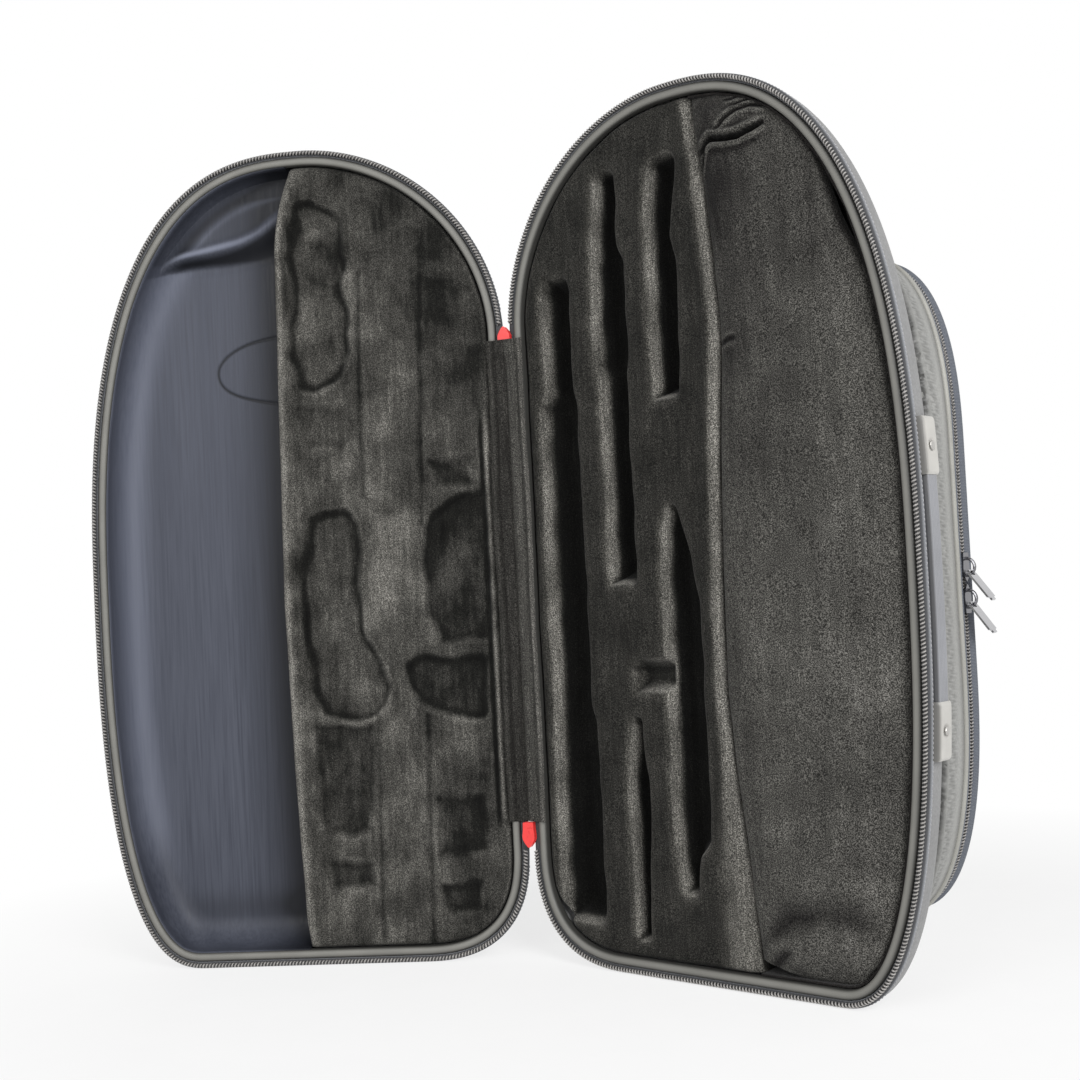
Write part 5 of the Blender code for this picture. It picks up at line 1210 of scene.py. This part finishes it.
def build_lining():
    """The satin lining of the lid's compartment: filleted sides and a moulded shelf, with a
    painted shadow beside the pad and painted shade and highlight on the shelf and sides.
    """
    border = inset_line(SOFT_INSET)
    far = side_chain(border, False)
    z = chain_rows(far, 0.7 * MM)
    right = chain_u(far, z)
    left = edge_line(PAD_EDGE, z) + 0.3 * MM
    keep = right - left > 0.5 * MM
    z, left, right = z[keep], left[keep], right[keep]
    share = 1 - (1 - np.linspace(0.0, 1.0, 210)) ** 1.8
    u, zz = spread_rows(left, right, z, share)
    gap = distance_to(border, u, zz)
    gap[:, -1] = 0.0
    fillet, floor = 16.5 * MM, 26.3 * MM
    reach = np.clip(fillet - gap, 0.0, fillet)
    bowl = floor - fillet + np.sqrt(np.clip(fillet ** 2 - reach ** 2, 0, None))
    brow = height_over(SHELF_BROW, u, zz)
    foot = height_over(SHELF_FOOT, u, zz)
    rise = np.clip(foot / np.maximum(foot - brow, 0.5 * MM), -0.4, 1.6)
    step = smooth_step(rise, 0.0, 1.0)
    shelf = 17.9 * MM - 0.9 * MM * bell(brow, 2.0 * MM, 3.2 * MM)
    shelf = shelf + 0.8 * MM * smooth_step(brow, 4 * MM, 22 * MM)
    depth = bowl * (1 - step) + np.minimum(bowl, shelf) * step
    depth = depth + 0.5 * MM * bell(foot, -1.5 * MM, 3.0 * MM) * smooth_step(gap, 0.004, 0.02)
    oval = distance_to(soften(np.array(OVAL_PRESS) * MM, 3, False), u, zz, False)
    press = bell(oval, 0.0, 0.80 * MM)
    depth = depth + 0.45 * MM * press
    wall_depths = (6.6 * MM, 3.2 * MM)
    walls = [np.stack([right, np.full(len(z), d), z], axis=-1)[:, None, :]
             for d in wall_depths]
    front = np.concatenate([np.stack([u, depth, zz], axis=-1)] + walls, axis=1)
    for d in wall_depths:
        sole = front[:1].copy()
        sole[..., 1] = np.minimum(sole[..., 1], d)
        front = np.concatenate([sole, front], axis=0)
    press, gap, rise = (np.pad(field, ((2, 0), (0, 2))) for field in (press, gap, rise))
    # Painted shade in the pressed oval, on the shelf's step, above the shelf and low down, a
    # painted shadow of the pad beside it, and painted highlight on the brow and the far fillet.
    inside = smooth_step(gap, 0.001, 0.012)
    shade = press + 1.0 * bell(rise, 0.42, 0.36) * inside
    shade = shade - 0.9 * bell(rise, 1.12, 0.22) * inside
    shade = shade + 0.95 * bell(front[..., 0] - front[:, :1, 0], 0.0, 24.0 * MM)
    lit = smooth_step(front[..., 2], 45 * MM, 90 * MM) * smooth_step(rise, 0.2, -0.2)
    shade = shade - 0.50 * lit * bell(gap, 7.5 * MM, 8.5 * MM)
    foot_band = bell(front[..., 2], 30 * MM, 9 * MM) * smooth_step(gap, 6 * MM, 12 * MM)
    shade = shade + 0.35 * foot_band
    above = smooth_step(rise, 1.25, 1.6)
    shade = shade + above * (0.30 + 0.50 * bell(gap, 8.0 * MM, 3.4 * MM))
    shade = np.clip(shade - above * 0.45 * bell(gap, 13.5 * MM, 1.8 * MM), -1, 1)
    piece("lining_satin_bowl", closed_skin(front, 0.7 * MM), "lid", LINING, "lid",
          ("lid_lining",),
          painted_shading=np.concatenate([shade, shade[:, ::-1]], axis=1).ravel())


build_pad()
build_lining()

# Pocket and handle


def fillet_depth(inset):
    """Depth of the base shell's outside at a distance inside the case's outline."""
    reach = np.clip(20 * MM - inset, 0.0, 20 * MM)
    return 12 * MM + np.sqrt((20 * MM) ** 2 - reach ** 2)


def build_gusset():
    """The pocket's wall: a gathered roll against the shell and a plain side, with painted shade
    in the crevice, the wrinkles and by the piping.
    """
    step = 0.5 * MM
    fine = resample(pocket_outline(), step)
    away = distance_to(RING, fine[:, 0], fine[:, 1])
    along = np.arange(len(fine)) * step
    columns = []
    roll_stops = ((3.6, 0.1, 0.3), (3.3, 1.4, 0.7), (2.8, 2.8, 1.0), (2.1, 4.2, 1.0),
                  (1.3, 5.6, 0.8), (0.6, 7.0, 0.5), (0.15, 8.6, 0.25))
    for number, (inset, lift, amount) in enumerate(roll_stops):
        pleat = 0.34 * wave_noise(along, along * 0 + lift * MM, 0.0060, 70)
        pleat = pleat + 0.20 * wave_noise(along, along * 0, 0.0026, 71 + number)
        reach = np.maximum(inset + pleat * amount, 0.0) * MM
        columns.append((reach, fillet_depth(away + reach) + lift * MM))
    roll_depth = columns[-1][1]
    edge = 45.0 * MM
    ribs = []
    for share in (0.10, 0.22, 0.34, 0.46, 0.58, 0.70, 0.82, 0.92):
        rib = 0.7 * wave_noise(along, along * 0 + share * 0.004, 0.0016, 90)
        rib = rib + 0.5 * wave_noise(along, along * 0 + share * 0.006, 0.0034, 91)
        fade = 1 - smooth_step(share, 0.45, 0.95)
        ribs.append(np.clip(0.5 + 0.5 * rib, 0, 1) * fade)
        reach = (0.04 + 0.34 * ribs[-1]) * MM
        columns.append((reach, roll_depth * (1 - share) + edge * share))
    flat = np.ones(len(fine)) * MM
    for inset, depth in ((0.0, 45.0), (0.0, 49.2), (0.4, 49.9), (1.3, 49.9), (1.6, 49.0)):
        columns.append((flat * inset, flat * depth))
    for inset, lift in ((1.8, 6.0), (3.6, 1.2)):
        columns.append((flat * inset, fillet_depth(away + inset * MM) + lift * MM))
    section = np.stack([np.stack(column, axis=1) for column in columns], axis=1)
    # Painted shade: dark in the crevice where the roll meets the shell, in the valleys of the
    # wrinkles, and beside the piping.
    patchy = 1 + 0.12 * wave_noise(along, along * 0, 0.006, 80)
    roll = patchy[:, None] * np.array((0.97, 0.97, 0.93, 0.84, 0.66, 0.40, 0.16))
    rim = np.tile((0.0, 0.30, 0.85, 0.80, 0.45, 0.30, 0.30), (len(fine), 1))
    painted_shading = np.concatenate([roll, np.stack(ribs, axis=1) * 0.50, rim], axis=1)
    piece("pocket_gusset_skin", sweep(fine, normals_in(fine), section), "base", POCKET_SKIN,
          "base", ("pocket_gusset",), 60, np.clip(painted_shading, 0, 1).ravel())


def build_pocket_trim():
    """Piping, tapes, coils and the padded cover of the pocket, with painted shade in the
    cover's groove.
    """
    turn = np.linspace(0, 2 * math.pi, 14, endpoint=False)
    bead = np.stack([0.20 + 1.55 * np.cos(turn), 51.3 - 1.55 * np.sin(turn)], axis=1) * MM
    piece("pocket_piping_bead", sweep(POCKET, POCKET_IN, bead), "base", PIPING, "base",
          ("pocket_piping",))
    run, run_in = open_run(POCKET, POCKET_IN, POCKET[:, 0] > 48 * MM)
    tapes = (
        ("pocket_tape_cloth", "base", "pocket_zip_tape",
         [(1.0, 50.4), (-0.2, 52.6), (-0.55, 53.6), (-0.5, 54.8), (0.0, 56.1), (0.8, 56.9),
          (1.6, 57.0), (1.8, 56.0), (1.9, 53.0), (1.8, 50.4)]),
        ("cover_tape_cloth", "cover", "cover_zip_tape",
         [(0.95, 68.05), (0.35, 67.6), (-0.12, 66.85), (-0.30, 65.9), (-0.18, 64.9),
          (0.15, 64.0), (0.55, 63.1), (0.95, 62.5), (1.5, 62.2), (1.8, 62.8), (1.8, 64.5),
          (0.6, 65.0), (0.25, 65.4), (0.15, 66.0), (0.4, 66.8), (1.1, 67.7)]),
    )
    for name, body, node_name, section in tapes:
        piece(name, sweep(run, run_in, np.array(section) * MM, False), "base", DARK_TAPE, body,
              (node_name,))
    for name, depth, body, node_name in (
            ("pocket_coil_wire", 57.85, "base", "pocket_zip_coil"),
            ("cover_coil_wire", 61.05, "cover", "cover_zip_coil")):
        winding, painted_shading = coil(run, run_in, (1.55, depth, 0.78, 0.38, 1.7))
        piece(name, winding, "base", COIL, body, (node_name,), painted_shading=painted_shading)
    groove = 4.6
    rings = [(2.2, 64.8), (0.7, 64.85), (0.1, 65.3), (0.0, 66.0), (0.25, 66.9), (0.9, 67.8),
             (1.9, 68.4), (3.0, 68.6), (4.2, 68.45), (groove, 68.1), (5.0, 68.4), (6.2, 68.8),
             (9.0, 68.9)]
    # Painted shade in the groove round the cover.
    shade = [0.75 if inset == groove else 0.0 for inset, _ in rings]
    piece("pocket_cover_skin", dish(POCKET, POCKET_IN, np.array(rings) * MM), "base",
          POCKET_SKIN, "cover", ("pocket_cover",), 60,
          np.tile(shade, len(POCKET)))


def side_run(low, high, step):
    """Stations up the far side of the case between two heights."""
    fine = resample(case_outline(), step)
    keep = (fine[:, 0] > 200 * MM) & (fine[:, 1] > low) & (fine[:, 1] < high)
    return open_run(fine, normals_in(fine), keep)


def build_handle():
    """The ribbed side strap and the moulded tab over each of its ends, with painted shade on
    the strap's edges and ribs and on the tabs' front faces.
    """
    run, run_in = side_run(122.4 * MM, 286.5 * MM, 0.6 * MM)
    section = [(-0.3, 7.0), (-2.5, 7.0), (-3.0, 7.25)]
    for middle in (8.4, 9.9, 11.4, 12.9, 14.4, 15.9):
        section += [(-3.2, middle - 0.45), (-3.3, middle), (-3.2, middle + 0.45),
                    (-2.95, middle + 0.75)]
    section += [(-2.5, 17.5), (-0.3, 17.5)]
    # Painted shade: dark lines along the strap's edges and under its ribs.
    shade = [0.9, 0.9, 0.6] + [0.0, 0.0, 0.0, 0.32] * 6 + [0.5, 0.5]
    piece("handle_strap_skin", sweep(run, run_in, np.array(section) * MM, False), "base",
          STRAP, "base", ("handle_strap",), 60, np.tile(shade, len(run)))
    shape = [(-0.3, 5.75), (-2.4, 5.75), (-3.5, 5.85), (-4.05, 6.2), (-4.3, 6.8), (-4.38, 7.8)]
    shape += [(-4.42, depth) for depth in np.linspace(8.6, 15.9, 16)]
    shape += [(-4.38, 16.8), (-4.25, 17.7), (-3.95, 18.3), (-3.4, 18.65), (-2.4, 18.75),
              (-0.3, 18.75)]
    # Painted shade on the tab's front face and its edge by the zip.
    shade = [0.85, 0.85, 0.82, 0.60, 0.25, 0.0] + [0.0] * (len(shape) - 6)
    for end, low, high in (("upper", 258.1, 286.7), ("lower", 122.3, 150.9)):
        run, run_in = side_run(low * MM, high * MM, 0.5 * MM)
        section = np.broadcast_to(np.array(shape), (len(run), len(shape), 2)).copy()
        share = np.abs(np.linspace(-1, 1, len(run)))
        pinch = 0.9 * np.clip((share - 0.86) / 0.14, 0, 1) ** 2
        section[..., 0] += np.where(section[..., 0] < -2.0, pinch[:, None], 0.0)
        rivet_u, rivet_z = 12.2, (low + high) / 2
        gap = np.hypot(section[..., 1] - rivet_u, (run[:, 1] / MM - rivet_z)[:, None])
        dip = 0.65 * (1 - smooth_step(gap, 2.2, 3.9))
        section[..., 0] += np.where(section[..., 0] < -4.0, dip, 0.0)
        piece(f"handle_tab_{end}_skin", sweep(run, run_in, section * MM, False), "base", TAB,
              "base", (f"handle_tab_{end}",), 50, np.tile(shade, len(run)))


build_gusset()
build_pocket_trim()
build_handle()

# Hinge strip


def build_strip():
    """One woven strip across the spine, creased along the line that the halves turn about, with
    painted shade in the crease and painted highlight on its ridges.
    """
    rows, columns = np.linspace(*STRIP_ENDS, 330), np.linspace(-1.0, 1.0, 45)
    zz, side = np.meshgrid(rows, columns, indexing="ij")
    lid_reach, base_reach = 11.6, 12.4
    reach = np.where(side < 0, -side * lid_reach, side * base_reach) * MM
    reach = reach + 0.5 * MM * np.abs(side) * wave_noise(zz * 0, zz, 0.09, 51)
    front = 0.35 * MM - 0.5 * MM * bell(side, 0.0, 0.35)
    front = front + 0.35 * MM * bell(np.abs(side), 0.62, 0.10)
    front = front - 0.35 * MM * bell(np.abs(side), 0.80, 0.12)
    front = front - 2.6 * MM * smooth_step(zz, 345 * MM, 353 * MM) * np.exp(-(side / 0.7) ** 4)
    outward = (math.pi - LID_TURN) / 2
    outward = np.array([math.cos(outward), -math.sin(outward), 0.0])
    round_off = 0.5 * MM * np.clip(1 - np.abs(side) / 0.28, 0, 1) ** 2
    thick = 0.7 * MM
    sheets = []
    for deep in (front, front + thick):
        flat = np.stack([reach, deep, zz], axis=-1).reshape(-1, 3)
        cloud = np.where(side.reshape(-1, 1) < 0, place(flat, "lid"), place(flat, "base"))
        sheets.append(cloud.reshape(side.shape + (3,)) - outward * round_off[..., None])
    skin = np.concatenate([sheets[0], sheets[1][:, ::-1]], axis=1)
    # Painted shading: lighter on the ridges, darker in the crease and the hollows beside it.
    crest = 0.56 + 0.22 * bell(side, 0.84, 0.12) - 0.20 * bell(side, 0.64, 0.10)
    crest = crest - 0.26 * smooth_step(-side, -0.06, 0.06) - 0.12 * bell(side, 0.0, 0.10)
    crest = crest - 0.12 * bell(side, -0.62, 0.08) + 0.10 * bell(side, -0.84, 0.08)
    painted_shading = np.clip(np.concatenate([crest, crest[:, ::-1]], axis=1), 0, 1)
    item = make_object("hinge_strip_cloth", skin.reshape(-1, 3), rod_faces(*painted_shading.shape),
                       painted_shading.ravel())
    item.data.materials.append(STRIP_CLOTH)
    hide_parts("base_hinge_leaf", "lid_hinge_leaf")
    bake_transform(item)


build_strip()

# Nodes that keep the shape of the CAD

KEPT_NODES = {"compartment_lining": DARK_VELOUR, "pocket_hinge_band": DARK_TAPE}
for end in ("upper", "lower"):
    KEPT_NODES |= {f"main_slider_{end}": RED, f"main_pull_{end}": RED,
                   f"handle_rivet_{end}": RIVET, f"pocket_slider_{end}": CHROME,
                   f"pocket_pull_{end}": PULL_METAL}
for node_name, material in KEPT_NODES.items():
    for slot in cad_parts[node_name].material_slots:
        slot.material = material

# Stage, light and camera


def area_light(name, location, aim, size, power):
    """A soft rectangular light."""
    lamp = bpy.data.lights.new(name, "AREA")
    lamp.shape = "RECTANGLE"
    lamp.size, lamp.size_y = size
    lamp.energy = power
    item = bpy.data.objects.new(name, lamp)
    item.location = location
    direction = Vector(aim) - Vector(location)
    item.rotation_euler = direction.to_track_quat("-Z", "Y").to_euler()
    bpy.context.scene.collection.objects.link(item)


def build_world():
    """White behind the object, and a softer white that lights it."""
    world = bpy.data.worlds.new("studio")
    bpy.context.scene.world = world
    world.use_nodes = True
    tree = world.node_tree
    tree.nodes.clear()
    rays = add_node(tree, "LightPath", {}).outputs
    seen = rays["Is Camera Ray"]
    for name in ("Is Glossy Ray", "Is Transmission Ray"):
        seen = add_node(tree, "Math", {0: seen, 1: rays[name]}, operation="MAXIMUM").outputs[0]
    fill_light, white = (
        add_node(tree, "Background", {"Color": (1, 1, 1), "Strength": strength}).outputs[0]
        for strength in (0.38, 1.0))
    choose = add_node(tree, "MixShader", {"Fac": seen, 1: fill_light, 2: white})
    add_node(tree, "OutputWorld", {"Surface": choose.outputs[0]})


def build_floor():
    """A pale floor that keeps the shadow of the case."""
    mesh = bpy.data.meshes.new("floor")
    count = 64
    turn = np.linspace(0, 2 * math.pi, count, endpoint=False)
    rim = np.stack([3.0 * np.cos(turn), 3.0 * np.sin(turn), np.full(count, -0.0005)], axis=1)
    mesh.from_pydata(rim.tolist(), [], [list(range(count))])
    floor = bpy.data.objects.new("floor", mesh)
    bpy.context.scene.collection.objects.link(floor)
    paper = Material("floor_paper", 0.9)
    grain = paper.noise(30.0, 2.0, 0.5)
    paper.set("Base Color", paper.shift(grain, 0.3, 0.7, (0.93, 0.93, 0.93),
                                        (0.96, 0.96, 0.96)))
    glow = paper.add("Emission", {"Color": (1, 1, 1), "Strength": 1.0})
    where = paper.add("NewGeometry", {}).outputs["Position"]
    far = paper.add("VectorMath", {0: where}, operation="LENGTH").outputs["Value"]
    fade = paper.ramp(far, (0.30, 0.72), (0.62, 1.0))
    blend = paper.add("MixShader", {"Fac": fade, 1: paper.shader.outputs[0],
                                    2: glow.outputs[0]})
    output = paper.tree.nodes["Material Output"]
    fill(paper.tree, output.inputs["Surface"], blend.outputs[0])
    mesh.materials.append(paper.material)


build_world()
build_floor()
area_light("key", (1.55, -0.80, 0.95), (-0.02, 0.0, 0.22), (0.8, 0.9), 30.0)
area_light("fill", (0.25, -1.75, 0.85), (0.0, 0.0, 0.22), (1.2, 1.0), 14.0)

# The camera's place was fitted to the outlines of both halves
camera_data = bpy.data.cameras.new("camera")
camera_data.lens = 50.0
camera_data.sensor_width = 36.0
camera_data.dof.use_dof = False
camera = bpy.data.objects.new("camera", camera_data)
camera.matrix_world = Matrix((
    (0.758218, 0.057705, 0.649443, 0.447818),
    (0.650019, 0.010730, -0.759843, -0.662110),
    (-0.050815, 0.998276, -0.029374, 0.215736),
    (0.0, 0.0, 0.0, 1.0)))
bpy.context.scene.collection.objects.link(camera)
bpy.context.scene.camera = camera
bpy.context.scene.view_settings.view_transform = "Standard"
